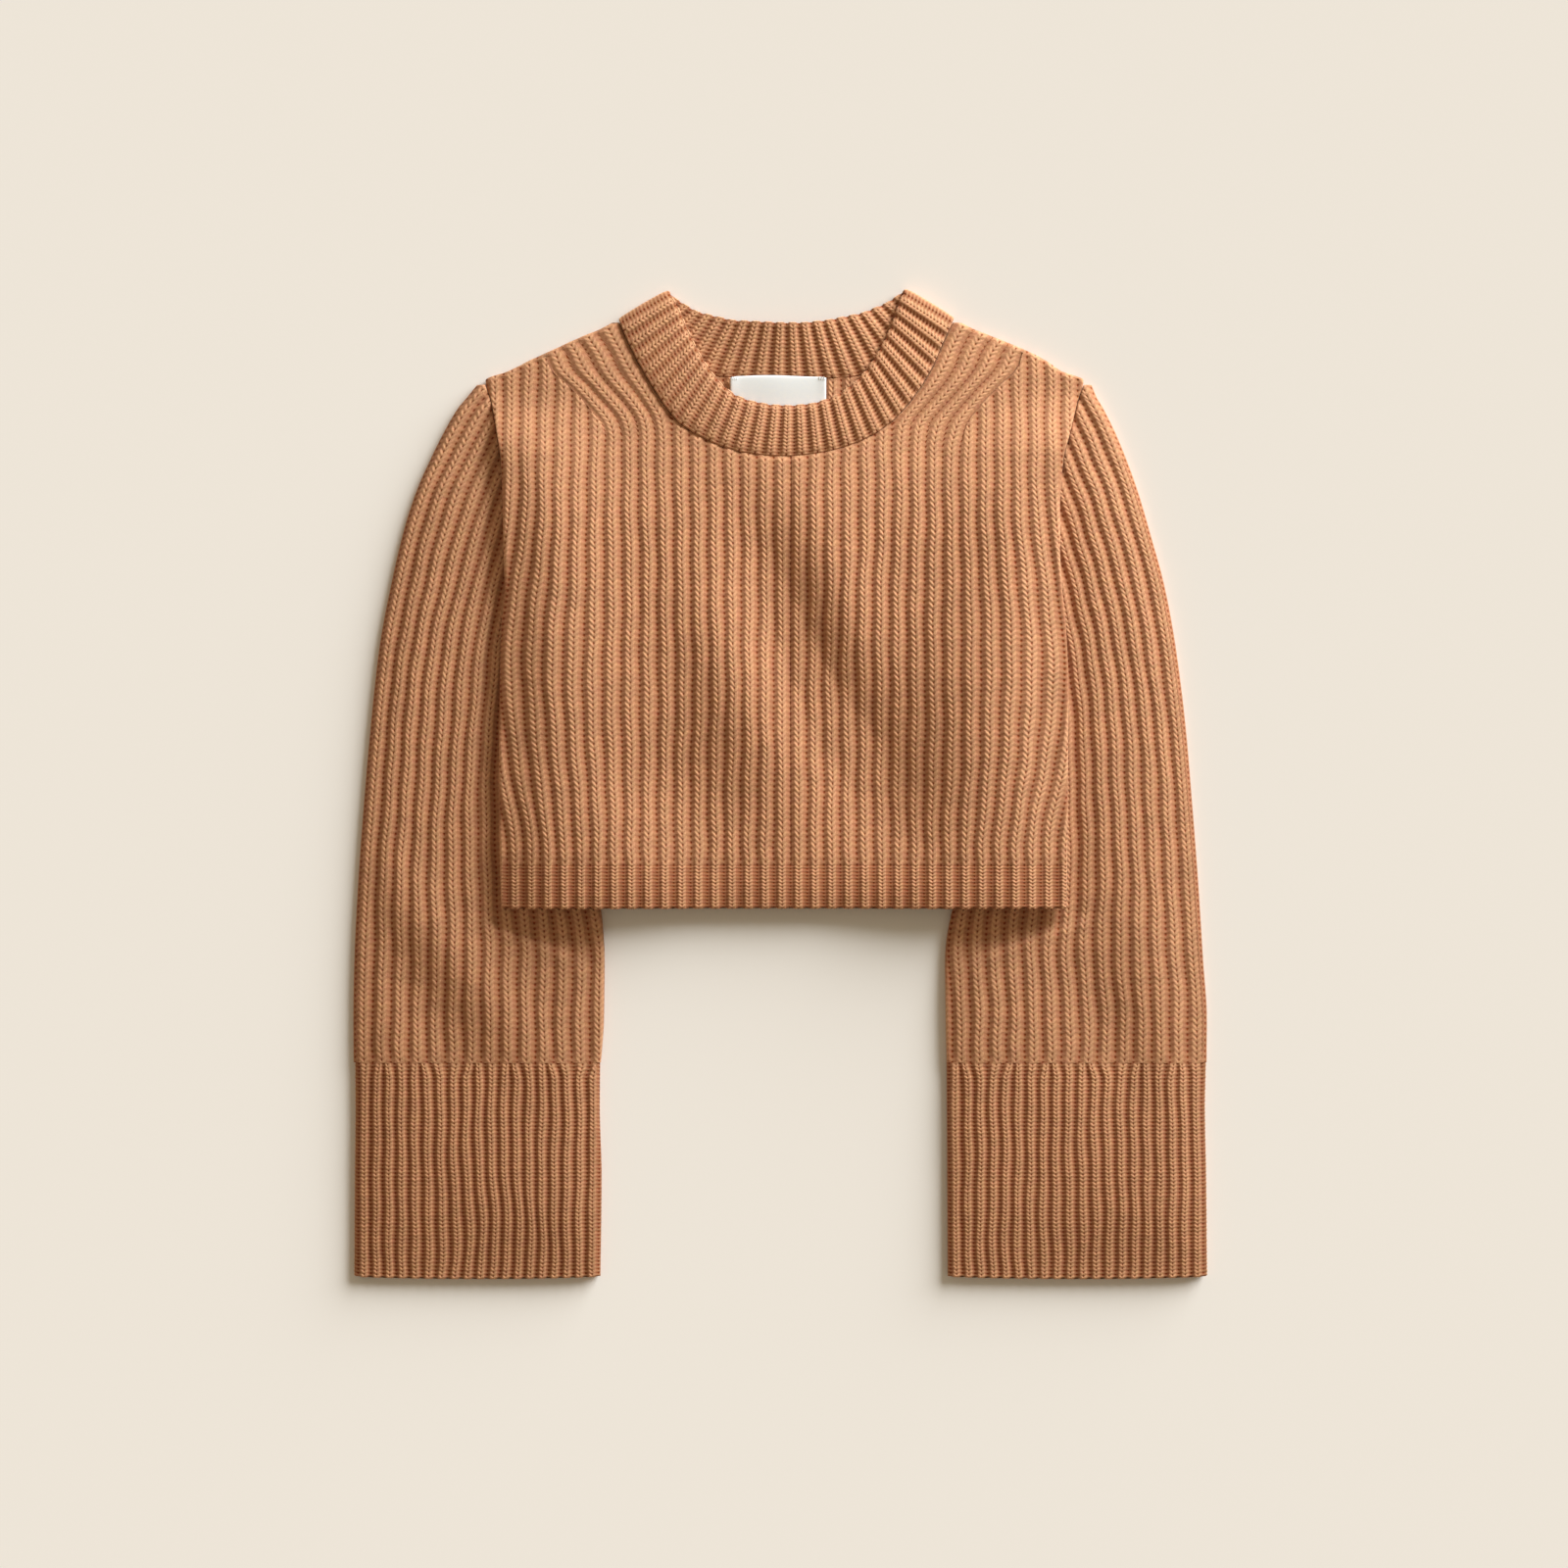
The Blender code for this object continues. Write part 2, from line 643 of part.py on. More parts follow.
def full_section(wall, panel, y, rib, split=None):
    """A section that reaches from one side of the body to the other."""
    start, end = float(outline("low", y)), float(outline("high", y))
    return panel_section(wall, panel, y, start, end, (True, True), rib, split)


def build_panel(panel, rows, yoke_rows, neck, lowest, rib):
    """The front or the back: full sections up to the neck seam, then one run to each shoulder."""
    wall = Wall()
    split_x, split_y = lowest
    body = [full_section(wall, panel, y, rib) for y in rows]
    top = full_section(wall, panel, split_y - NECK_ROOM[1], rib, split_x)
    wall.close(body[0])
    wall.loft(body + [top])
    for side in ("low", "high"):
        run = [part_of(top, split_x, side)]
        for y in yoke_rows[side]:
            edge = float(outline(side, y))
            seam = neck_x(neck, side, y)
            if side == "low":
                run.append(panel_section(wall, panel, y, edge, seam, (True, False), rib))
            else:
                run.append(panel_section(wall, panel, y, seam, edge, (False, True), rib))
        wall.loft(run)
        wall.close(run[-1])
    return wall


def build_hem(panel, rib):
    """The front's or the back's hem rib."""
    wall = Wall()
    sections = [full_section(wall, panel, y, rib) for y in HEM_ROWS]
    wall.loft(sections)
    wall.close(sections[0])
    wall.close(sections[-1])
    return wall


def tube_section(wall, side, y, table, names, phase, rib):
    """A section of a sleeve or cuff: over the upper layer, round the fold, back beneath."""
    away = 1 if side == "low" else -1
    outer_x = float(read(table, names, side + "_outer", y))
    inner_x = float(read(table, names, side + "_inner", y))
    if table is SLEEVE:
        inner_x = float(sleeve_x(side + "_inner", y))
    width = abs(inner_x - outer_x)
    share = float(ease((TUCK - y) / 40.0))
    pitch = float(read(table, names, "pitch", y))
    bow = CUFF_BOW * float(ease((CUFF_EDGE + 40.0 - y) / 40.0))
    turn = np.radians((45.0, 90.0, 135.0))

    def place(t, z):
        """Points at the distances t from the fold and the heights z."""
        over = 2 * t / width - 1
        return np.stack((outer_x + away * t, y + bow * over ** 2, z), axis=1)

    def height(face, t):
        """Height of one face at the distances t from the fold."""
        z = layer_z(face, width - t, share)
        if face.startswith("front"):
            z = z + sleeve_slack(side, outer_x + away * t, y)
        return z

    def arc(radius):
        """Points round the fold."""
        return place(FOLD_AXIS - radius * np.sin(turn), LAYERS / 2 + radius * np.cos(turn))

    rounded = np.array([value for value in ROUND_COLUMNS if value < width - FOLD_AXIS - 0.3])
    numbers = rib_numbers(-1, width / pitch)
    t = (numbers + phase) * pitch
    inside = (t > FOLD_AXIS + 0.6) & (t < width - rounded[-1] - 1.0)
    numbers, t = numbers[inside][::-1], t[inside][::-1]
    top = np.concatenate((width - rounded, t, [FOLD_AXIS]))
    relief = np.concatenate((0 * rounded, rib_height(numbers), [0.0]))
    beneath = np.concatenate(([FOLD_AXIS], (width - rounded)[::-1]))
    points = np.concatenate((place(top, height("front_out", top) + rib * relief), arc(FOLD_AXIS),
                             place(beneath, height("back_out", beneath))))
    keys = np.concatenate((-FAR + np.arange(len(rounded)), -numbers, [100.0, 101.0, 102.0, 103.0],
                           [200.0], FAR - np.arange(len(rounded))[::-1]))
    outer = wall.row(keys, np.concatenate((-top, turn, 10.0 + beneath)), points)

    limit = width - min(share * CLOTH, 0.3 * width)
    near = np.array([limit - 5.0]) if limit - 5.0 > FOLD_AXIS + 1.0 else np.array([])
    t = np.arange(14, 0, -1) * 13.0
    t = t[(t < limit - 10.0) & (t > FOLD_AXIS + 5.0)]
    top = np.concatenate(([limit], near, t, [FOLD_AXIS]))
    beneath = np.array([FOLD_AXIS, limit])
    points = np.concatenate((place(top, height("front_in", top)), arc(LAYER_AIR / 2),
                             place(beneath, height("back_in", beneath))))
    keys = np.concatenate(([-FAR], 0 * near - FAR + 1, -t, [100.0, 101.0, 102.0, 103.0, 200.0, FAR]))
    inner = wall.row(keys, np.concatenate((-top, turn, 10.0 + beneath)), points)
    return outer, inner


def build_tube(side, rows, table, names, phase, rib):
    """A sleeve or a cuff."""
    wall = Wall()
    sections = [tube_section(wall, side, y, table, names, phase, rib) for y in rows]
    wall.loft(sections)
    wall.close(sections[0])
    wall.close(sections[-1])
    return wall


# ---------------------------------------------------------------- the neckband and the label

def curve_length(curve):
    """Length of a curve."""
    return float(np.sum(np.linalg.norm(np.diff(np.array(curve), axis=0), axis=1)))


def along_curve(curve, share, trim):
    """Point at a share of a curve's length, once a length has been taken off at both ends."""
    points = np.array(curve)
    length = np.concatenate(([0.0], np.cumsum(np.linalg.norm(np.diff(points, axis=0), axis=1))))
    at = trim + (length[-1] - 2 * trim) * share
    return np.array((np.interp(at, length, points[:, 0]), np.interp(at, length, points[:, 1])))


class Band:
    """The neckband: a ring of cloth that is folded flat at both sides of the neck."""

    def __init__(self):
        self.wall = Wall()
        self.sections = []
        self.across = np.linspace(0.0, 1.0, BAND_ROWS)
        self.front_z = BAND_FRONT_Z[0] + (BAND_FRONT_Z[1] - BAND_FRONT_Z[0]) * self.across
        self.back_z = BAND_BACK_Z[0] + (BAND_BACK_Z[1] - BAND_BACK_Z[0]) * self.across
        self.radius = (self.front_z - self.back_z) / 2
        self.trim = CLOTH / 2 + self.radius

    def section(self, middle, normal, outer_rib, inner_rib):
        """A section across the band, from its seam to its free edge, with both faces' relief."""
        keys = np.arange(BAND_ROWS)
        outer = self.wall.row(keys, keys, middle + normal * (CLOTH / 2 + outer_rib))
        inner = self.wall.row(keys, keys, middle - normal * (CLOTH / 2 + inner_rib))
        self.sections.append((outer, inner))

    def half(self, seam, edge, count, z, facing, outer_ribs):
        """Sections of one half of the ring, three to a rib."""
        numbers = rib_numbers(-0.4, count - 0.6) + 0.5
        if facing < 0:
            numbers = numbers[::-1]
        for number in numbers:
            low = along_curve(seam, number / count, self.trim[0])
            high = along_curve(edge, number / count, self.trim[-1])
            middle = np.column_stack((low + (high - low) * self.across[:, None], z))
            from_fold = min(number, count - number) / count * curve_length(seam)
            relief = CUFF_RIB * float(rib_height(number - 0.5) * ease(from_fold / BAND_FADE))
            normal = np.array((0.0, 0.0, facing))
            self.section(middle, normal, relief * outer_ribs, relief * (1 - outer_ribs))

    def turn(self, end, angles):
        """Sections round one side fold. end is 0 for the low side and 1 for the high one."""
        across = self.across[:, None]
        seam_fold = np.array(FRONT_NECK[-end])
        edge_fold = np.array(BAND_FRONT_EDGE[-end])
        fold = seam_fold + (edge_fold - seam_fold) * across
        axes = []
        for seam, edge in ((FRONT_NECK, BAND_FRONT_EDGE), (BACK_NECK, BAND_BACK_EDGE)):
            seam_axis = along_curve(seam, end, self.trim[0])
            edge_axis = along_curve(edge, end, self.trim[-1])
            axes.append(seam_axis + (edge_axis - seam_axis) * across)
        height = (self.front_z + self.back_z) / 2
        for angle in np.radians(angles):
            turned = (1 - np.cos(angle)) / 2
            axis = axes[0] * (1 - turned) + axes[1] * turned
            out = (fold - axis) / np.linalg.norm(fold - axis, axis=1)[:, None]
            normal = np.column_stack((out * np.sin(angle), np.full(BAND_ROWS, np.cos(angle))))
            middle = np.column_stack((axis, height)) + normal * self.radius[:, None]
            self.section(middle, normal, 0.0, 0.0)

    def build(self):
        """The closed ring: front half, high fold, back half, low fold."""
        self.half(FRONT_NECK, BAND_FRONT_EDGE, BAND_RIBS_FRONT, self.front_z, 1.0, 1)
        self.turn(1, (0.0,) + BAND_TURNS + (180.0,))
        self.half(BACK_NECK, BAND_BACK_EDGE, BAND_RIBS_BACK, self.back_z, -1.0, 0)
        self.turn(0, (180.0,) + BAND_TURNS[::-1] + (0.0,))
        self.wall.loft(self.sections + self.sections[:1])
        return self.wall


def build_label():
    """The woven label: a plain slip of cloth on the inner face of the back."""
    wall = Wall()
    x = np.linspace(LABEL_X[0], LABEL_X[1], 4)
    sections = []
    for y in LABEL_Y:
        base = body_z("back_in", x, y) + SEAM_GAP
        upper = wall.row(x, x, np.stack((x, 0 * x + y, base + LABEL_THICK), axis=1))
        lower = wall.row(x, x, np.stack((x, 0 * x + y, base), axis=1))
        sections.append((upper, lower))
    wall.loft(sections)
    wall.close(sections[0])
    wall.close(sections[1])
    return wall


# ---------------------------------------------------------------- the scene

def make_material(name, colour, roughness):
    """A plain Principled material."""
    material = bpy.data.materials.new(name)
    material.use_nodes = True
    shader = material.node_tree.nodes["Principled BSDF"]
    shader.inputs["Base Color"].default_value = colour
    shader.inputs["Roughness"].default_value = roughness
    material.diffuse_color = colour
    return material


def add_object(name, wall, collection, colour, roughness):
    """A mesh object from a wall, in metres and with its faces turned outward."""
    mesh = bpy.data.meshes.new(name)
    points = [tuple(value * MM for value in point) for point in wall.points]
    mesh.from_pydata(points, [], wall.faces)
    shell = bmesh.new()
    shell.from_mesh(mesh)
    bmesh.ops.triangulate(shell, faces=shell.faces)
    bmesh.ops.recalc_face_normals(shell, faces=shell.faces)
    shell.to_mesh(mesh)
    shell.free()
    obj = bpy.data.objects.new(name, mesh)
    mesh.materials.append(make_material(name + "_cloth", colour, roughness))
    collection.objects.link(obj)
    print(name, len(mesh.polygons), "triangles")
    return obj


def main():
    """Build the sweater."""
    for obj in list(bpy.data.objects):
        bpy.data.objects.remove(obj)
    collection = bpy.data.collections.new(GARMENT)
    bpy.context.scene.collection.children.link(collection)
    walls = {
        "front_panel": build_panel("front", BODY_ROWS, YOKE_ROWS, FRONT_NECK, NECK_LOW, BODY_RIB),
        "back_panel": build_panel("back", BODY_ROWS + BACK_ROWS, BACK_YOKE_ROWS, BACK_NECK,
                                  BACK_NECK_LOW, 0.0),
        "hem_front": build_hem("front", CUFF_RIB),
        "hem_back": build_hem("back", 0.0),
        "neckband": Band().build(),
        "label": build_label(),
    }
    for name, side in (("left", "high"), ("right", "low")):
        walls["sleeve_" + name] = build_tube(side, SLEEVE_ROWS, SLEEVE, SLEEVE_COLUMNS,
                                             SLEEVE_PHASE, BODY_RIB)
        walls["cuff_" + name] = build_tube(side, CUFF_ROWS, CUFF, CUFF_COLUMNS, CUFF_PHASE,
                                           CUFF_RIB)
    for name, wall in walls.items():
        if name == "label":
            add_object(name, wall, collection, LABEL_WHITE, 0.55)
        else:
            add_object(name, wall, collection, CASHMERE, 0.95)


main()
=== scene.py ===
# %% [markdown]
# # A cropped rib-knit sweater, laid flat
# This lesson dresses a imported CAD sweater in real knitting. Each CAD node is replaced by a mesh
# on the same curves, but with ribs and V stitches in its surface. Every surface is a grid of
# points that numpy works out as whole arrays, from a short table of sizes in millimetres.

import bpy
import numpy as np
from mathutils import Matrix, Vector


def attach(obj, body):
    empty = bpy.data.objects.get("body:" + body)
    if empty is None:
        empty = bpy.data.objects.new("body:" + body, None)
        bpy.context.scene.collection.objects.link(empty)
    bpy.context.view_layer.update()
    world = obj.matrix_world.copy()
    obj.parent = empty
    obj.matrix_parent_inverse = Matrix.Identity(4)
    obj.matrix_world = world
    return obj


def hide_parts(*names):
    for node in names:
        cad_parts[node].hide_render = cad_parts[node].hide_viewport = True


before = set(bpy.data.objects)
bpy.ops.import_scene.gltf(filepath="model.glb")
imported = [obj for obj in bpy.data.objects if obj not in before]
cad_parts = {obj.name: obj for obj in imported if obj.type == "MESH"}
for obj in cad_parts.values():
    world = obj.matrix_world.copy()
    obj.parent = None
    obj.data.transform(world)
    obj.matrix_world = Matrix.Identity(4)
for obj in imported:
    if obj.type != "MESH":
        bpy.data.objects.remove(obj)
bpy.context.view_layer.update()
MM = 0.001

# %% [markdown]
# ## The cloth and its sizes
# A chunky cashmere knit is about 2.4 mm thick between its ribs. Laid down it is two layers, with
# a little air between them. +Y points to the collar and the floor is Z = 0. "low" is the -X
# side, the wearer's right, and "high" is the +X side.

# %% Sizes of the cloth
# Thickness of one layer, of the air between two, and how their edges round off
CLOTH = 2.4
LAYER_AIR = 1.2
SEAM_GAP = 0.3
JOIN_GAP = 0.03
BODY_RIB = 1.3
LAYERS = 2 * CLOTH + LAYER_AIR
ROUND = LAYERS / 2 - SEAM_GAP / 2
ROUND_INSIDE = LAYER_AIR / 2 - SEAM_GAP / 2
OPEN_ROUNDING = 0.35
# Where the pieces begin and end, and the room that a neck edge leaves to the seam in X and Y
CENTRE = 2.3
RIB_CENTRE = 1.3
HEM_EDGE = -82.2
HEM_SEAM = -53.6
NECK_LOW = (5.8, 217.4)
BACK_NECK_LOW = (2.6, 268.9)
NECK_ROOM = (0.03, 0.06)
# How the body climbs over the sleeves, from which heights and in how long a slope
LIFT = LAYERS + BODY_RIB + 2.4
LIFT_MARGIN = 2.0
LIFT_SLOPE = 24.0
LIFT_START = 262.0
LIFT_FULL = 216.0
# Ribs, counted from the centre: those that turn at the neck, and the last one at the side
HUG_FIRST = 6.5
HUG_LAST = 10.5
OUTER_RIB = 18
# Sleeves and cuffs: their ends, and the share of a rib by which their ribs are shifted
CUFF_SEAM = -184.9
CUFF_EDGE = -328.3
CUFF_BOW = 1.4
CUFF_PITCH = 8.4
TUCK = 218.0
SLEEVE_TOP = 265.0
SHOULDER_TOP = 306.3
SLEEVE_PHASE = 0.58
CUFF_PHASE = 0.75
SPLIT_WALE = 0.5
OUTWARD = {"low": -1, "high": 1}
WEARER = {"low": "right", "high": "left"}
print("two layers:", LAYERS, "mm, lifted", LIFT, "mm where the body lies on a sleeve")

# %% [markdown]
# ## The pattern pieces as tables
# A knitter's schematic gives widths at a few heights. These tables do the same: one row for
# each height, with the outline of the body, the spacing of its ribs and the edges of sleeves
# and cuffs. A smooth cubic joins the rows.

# %% Tables of the body


def columns(names, *rows):
    """A table as named columns of numbers."""
    return dict(zip(names.split(), np.array(rows, dtype=float).T))


OUTLINE = columns(
    "y low high",
    (-82.2, -184.4, 189.4), (-53.6, -185.3, 190.0), (0, -185.9, 190.5), (65, -185.6, 190.8),
    (104, -184.6, 189.2), (130, -182.3, 186.6), (156, -183, 185.3), (182, -183.6, 185.3),
    (214.5, -184.9, 187.5), (234, -187.9, 192.4), (254, -191.8, 197.6), (268.4, -195.7, 201.6),
    (274.3, -180.7, 187.2), (282.1, -165.1, 175.5), (289.2, -149.5, 161.2), (296.4, -133.9, 143.6),
    (302.9, -118.3, 127.5), (308.8, -107.6, 116),
)
CLOSING = columns("y share", (190, 1), (212, 0.6), (228, 0), (256, 0), (266, 0.5), (272, 1))
RIBS = columns(
    "y pitch spread",
    (-82.2, 11.02, 0), (-45, 11.02, 0), (20, 10.85, 0.0035), (78, 10.66, 0.0058),
    (130, 10.85, 0.0035), (182, 11.15, 0.0005), (215, 11.21, 0), (310, 11.21, 0),
)
SHAPING = columns(
    "y reach",
    (217, 118.2), (230, 118.8), (238, 121), (245.5, 125.6), (254.2, 133.2), (263.9, 143),
    (273, 153), (278.2, 156.3), (284.7, 158.3), (292.5, 164.8), (300.3, 173.2), (308.8, 183),
)
FRONT_NECK = (
    (-107.6, 308.8), (-101.4, 293.8), (-94.9, 280.8), (-86.8, 266.8), (-76.7, 250.9),
    (-67.6, 239.9), (-56.9, 232.7), (-42.0, 225.2), (-27.0, 220.4), (-10.4, 217.9),
    (5.8, 217.4), (22.1, 218.9), (37.1, 221.9), (51.4, 226.6), (64.4, 233.2), (75.9, 241.9),
    (84.8, 251.9), (93.8, 263.9), (101.7, 277.8), (107.7, 291.7), (111.8, 301.0),
    (116.0, 309.4),
)
BACK_NECK = (
    (-107.6, 308.8), (-103.5, 303.0), (-91.7, 291.2), (-70.2, 277.2), (-39.7, 270.4),
    (2.6, 268.9), (45.5, 269.8), (77.4, 276.9), (100.1, 291.2), (111.5, 302.5),
    (116.0, 309.4),
)
BAND_FRONT_EDGE = (
    (-73.8, 327.3), (-67.9, 317.5), (-61.9, 303.6), (-54.9, 288.6), (-46.9, 275.6),
    (-38.0, 264.8), (-29.9, 258.4), (-20.8, 254.7), (-7.2, 251.9), (7.8, 251.2),
    (22.1, 252.7), (32.5, 255.9), (42.0, 260.8), (50.1, 267.2), (57.2, 274.8),
    (63.9, 284.7), (69.9, 295.8), (74.4, 306.0), (78.0, 317.0), (82.6, 328.3),
)
BAND_BACK_EDGE = (
    (-73.8, 327.3), (-70.2, 323.5), (-62.4, 318.5), (-54.6, 314.0), (-31.2, 308.1),
    (0.0, 306.2), (15.6, 306.2), (31.2, 308.1), (54.6, 313.3), (70.2, 319.8),
    (78.5, 325.2), (82.6, 328.3),
)
print("body outline:", len(OUTLINE["y"]), "heights")

# %% [markdown]
# A sleeve's table has its fold, its underarm edge and the spacing of its ribs. The soft folds
# are listed one by one. A cloth simulation could make folds too, but of its own and not these.

# %% Tables of the sleeves, the cuffs and the soft folds
EDGES = "y low_outer low_inner high_inner high_outer pitch"
SLEEVE = columns(
    EDGES,
    (-184.9, -283.2, -119, 110.6, 283.2, 12), (-156, -283.4, -117, 110, 283.4, 12),
    (-117, -282.7, -116.6, 109.6, 280.9, 12), (-65, -280.1, -121.5, 119, 277.6, 11.3),
    (-13, -276.3, -138.4, 140.4, 273.6, 10.75), (39, -271.7, -153.4, 156, 269.1, 10.4),
    (91, -265.9, -164.4, 167, 262.6, 10.3), (130, -258.7, -171.6, 174.2, 255.5, 10.5),
    (169, -249.6, -177.6, 179.6, 245, 10.8), (195, -241.2, -181.6, 183.4, 237.3, 11),
    (218.4, -230.8, -185.9, 188.9, 228.8, 11.2), (234, -223, -188.3, 192.8, 222.3, 11.2),
    (249.6, -213.9, -191.3, 196.9, 214.5, 11.2), (257.4, -207.4, -193, 199, 209.9, 11.2),
    (265, -201.4, -195.4, 201.4, 206.9, 11.2),
)
CUFF = columns(
    EDGES,
    (-328.3, -282.4, -119.4, 111.4, 283.2, CUFF_PITCH),
    (-260, -282, -118.6, 111, 282.6, CUFF_PITCH),
    (-215, -281.6, -119.8, 110.8, 281.8, CUFF_PITCH),
    (-184.9, -281.8, -119.6, 110.6, 282.4, CUFF_PITCH),
)
# Each fold is a soft crest (rise above 0) or trough of the upper layer: its middle, its spread
# along and across, the angle of its long direction from +Y towards +X, and its rise.
BODY_FOLDS = (
    (2.6, 117.0, 49.0, 17.0, 159.0, -5.4), (52.0, 22.0, 56.0, 24.0, 152.0, -6.6),
    (124.0, 56.0, 62.0, 26.0, 0.0, 4.8), (-111.0, 104.0, 60.0, 46.0, 0.0, 2.4),
    (-30.0, 62.0, 50.0, 17.0, 160.0, 4.8), (40.0, 122.0, 40.0, 15.0, 165.0, 3.8),
    (-62.0, 186.0, 42.0, 34.0, 150.0, -1.5), (-86.0, 2.0, 40.0, 22.0, 100.0, -3.0),
    (4.0, -84.0, 95.0, 24.0, 90.0, 3.8),
)
SLEEVE_FOLDS = (
    (-214.0, -118.0, 62.0, 14.0, 141.0, 3.0), (-240.0, -140.0, 40.0, 14.0, 150.0, -2.0),
    (-176.0, -262.0, 46.0, 34.0, 150.0, 2.0), (240.0, -118.0, 70.0, 15.0, 170.0, 3.0),
    (206.0, -150.0, 40.0, 16.0, 150.0, -1.8), (222.0, -258.0, 48.0, 34.0, 150.0, 2.0),
)
BODY_EASE = 5.2
BODY_SIDES = {"low": 36.0, "high": 38.0}
HEM_CALM = 62.0
HEM_OVER = 80.0
SHOULDER_FLAT = 258.0
SHOULDER_OVER = 90.0
BRIDGE = 85.0
BRIDGE_AT_HEM = 0.3
SLEEVE_EASE = 2.4
SLEEVE_SIDES = (24.0, 26.0)
SLEEVE_FLAT = 240.0
SLEEVE_OVER = 60.0
CUFF_SLACK = 0.25
CUFF_OVER = 50.0
UNDER_BODY = 2.0
UNDER_OVER = 40.0
BACK_START = 2.1
BACK_SOFT = 0.6
print("soft folds:", len(BODY_FOLDS) + len(SLEEVE_FOLDS))

# %% [markdown]
# ## Reading the tables
# A plain polynomial through many points swings between them, and straight lines show corners.
# A monotone cubic does neither: its slope at a knot is the harmonic mean of the slopes beside it.

# %% Curves through the tables


def smooth(knots, values, at):
    """Monotone cubic through the knots, read at the given places."""
    step = np.diff(knots)
    slope = np.diff(values) / step
    before, after = slope[:-1], slope[1:]
    total = np.where(before + after == 0, 1.0, before + after)
    inner = np.where(before * after > 0, 2 * before * after / total, 0.0)
    tangent = np.concatenate(([slope[0]], inner, [slope[-1]]))
    place = np.clip(np.searchsorted(knots, at) - 1, 0, len(knots) - 2)
    run = step[place]
    t = np.clip((at - knots[place]) / run, 0.0, 1.0)
    bend = run * t * (1 - t) * (tangent[place] * (1 - t) - tangent[place + 1] * t)
    level = values[place] * (1 + 2 * t) * (1 - t) ** 2
    return level + values[place + 1] * t * t * (3 - 2 * t) + bend


def read(table, name, y):
    """A table's column at the height y."""
    return smooth(table["y"], table[name], np.asarray(y, dtype=float))


def ease(t):
    """0 below 0, 1 above 1, and a smooth step between: 3 t^2 - 2 t^3."""
    t = np.clip(t, 0.0, 1.0)
    return t * t * (3 - 2 * t)


def rounding(distance, radius):
    """Drop of a rounded edge at a distance from it: a quarter circle."""
    inside = np.clip(radius - distance, 0.0, radius)
    return radius - np.sqrt(radius * radius - inside * inside)


def bells(table, x, y):
    """Sum of soft bells: each has its own height, and is longer one way than the other."""
    total = 0.0 * x
    for cx, cy, long, wide, turn, rise in table:
        angle = np.radians(turn)
        along = (x - cx) * np.sin(angle) + (y - cy) * np.cos(angle)
        across = (x - cx) * np.cos(angle) - (y - cy) * np.sin(angle)
        total = total + rise * np.exp(-0.5 * ((along / long) ** 2 + (across / wide) ** 2))
    return total


def above_zero(slack, soft=0.45):
    """The slack where it is positive, and close to 0 elsewhere, without a crease."""
    return 0.5 * (slack + np.sqrt(slack * slack + soft * soft)) - 0.5 * soft


print("the body is", round(float(read(OUTLINE, "high", 0.0) - read(OUTLINE, "low", 0.0)), 1),
      "mm across")

# %% [markdown]
# ## How the sweater lies
# The back lies on the floor and climbs over both sleeves. The front lies on the back with some
# slack, and comes down from a sleeve in a longer slope than the back does, like a cloth that
# bridges a step. The two close round the side seams in a quarter circle. One function gives the
# height of each of the body's four faces, so the body's pieces fit each other by construction.
# The sleeves have a height of their own, and there the fit has a flaw: at the upper armhole the
# body's edge stands a few millimetres over the sleeve's, and a gap shows from low angles.

# %% Surfaces of the body


def outline(side, y):
    """X of the body's outline on one side."""
    return read(OUTLINE, side, y)


def edge_cosine(side, y, reach=0.5):
    """Cosine of the angle between the outline's normal and the X axis."""
    rate = (outline(side, y + reach) - outline(side, y - reach)) / (2 * reach)
    return 1 / np.sqrt(1 + rate * rate)


def sleeve_x(name, y):
    """X of a sleeve's fold or underarm edge. Along the armhole the edge follows the body."""
    x = read(SLEEVE, name, y)
    side, edge = name.split("_")
    if edge == "inner":
        x = np.where(np.asarray(y) > TUCK, outline(side, y) + 1.5 * OUTWARD[side] * SEAM_GAP, x)
    return x


def body_lift(x, y, slope=LIFT_SLOPE):
    """Height of the back where it lies on the sleeves: a smooth slope down past their edges."""
    from_low = (x - sleeve_x("low_inner", y) - LIFT_MARGIN) / slope
    from_high = (sleeve_x("high_inner", y) - x - LIFT_MARGIN) / slope
    rise = (LIFT_START - y) / (LIFT_START - LIFT_FULL)
    return LIFT * ease(rise) * (1 - ease(np.minimum(from_low, from_high)))


def body_slack(x, y):
    """How far the front stands off its closest place: the mean slack with the folds on it.

    Where the front bridges the step beside a sleeve, the difference of the two slopes is added.
    """
    low = ease((x - outline("low", y)) / BODY_SIDES["low"])
    high = ease((outline("high", y) - x) / BODY_SIDES["high"])
    hem = ease((y - HEM_EDGE + HEM_CALM) / HEM_OVER)
    window = low * high * hem * ease((SHOULDER_FLAT - y) / SHOULDER_OVER)
    bridge = body_lift(x, y, BRIDGE) - body_lift(x, y)
    bridge = bridge * (BRIDGE_AT_HEM + (1 - BRIDGE_AT_HEM) * hem)
    return above_zero(window * (BODY_EASE + bells(BODY_FOLDS, x, y)) + bridge)


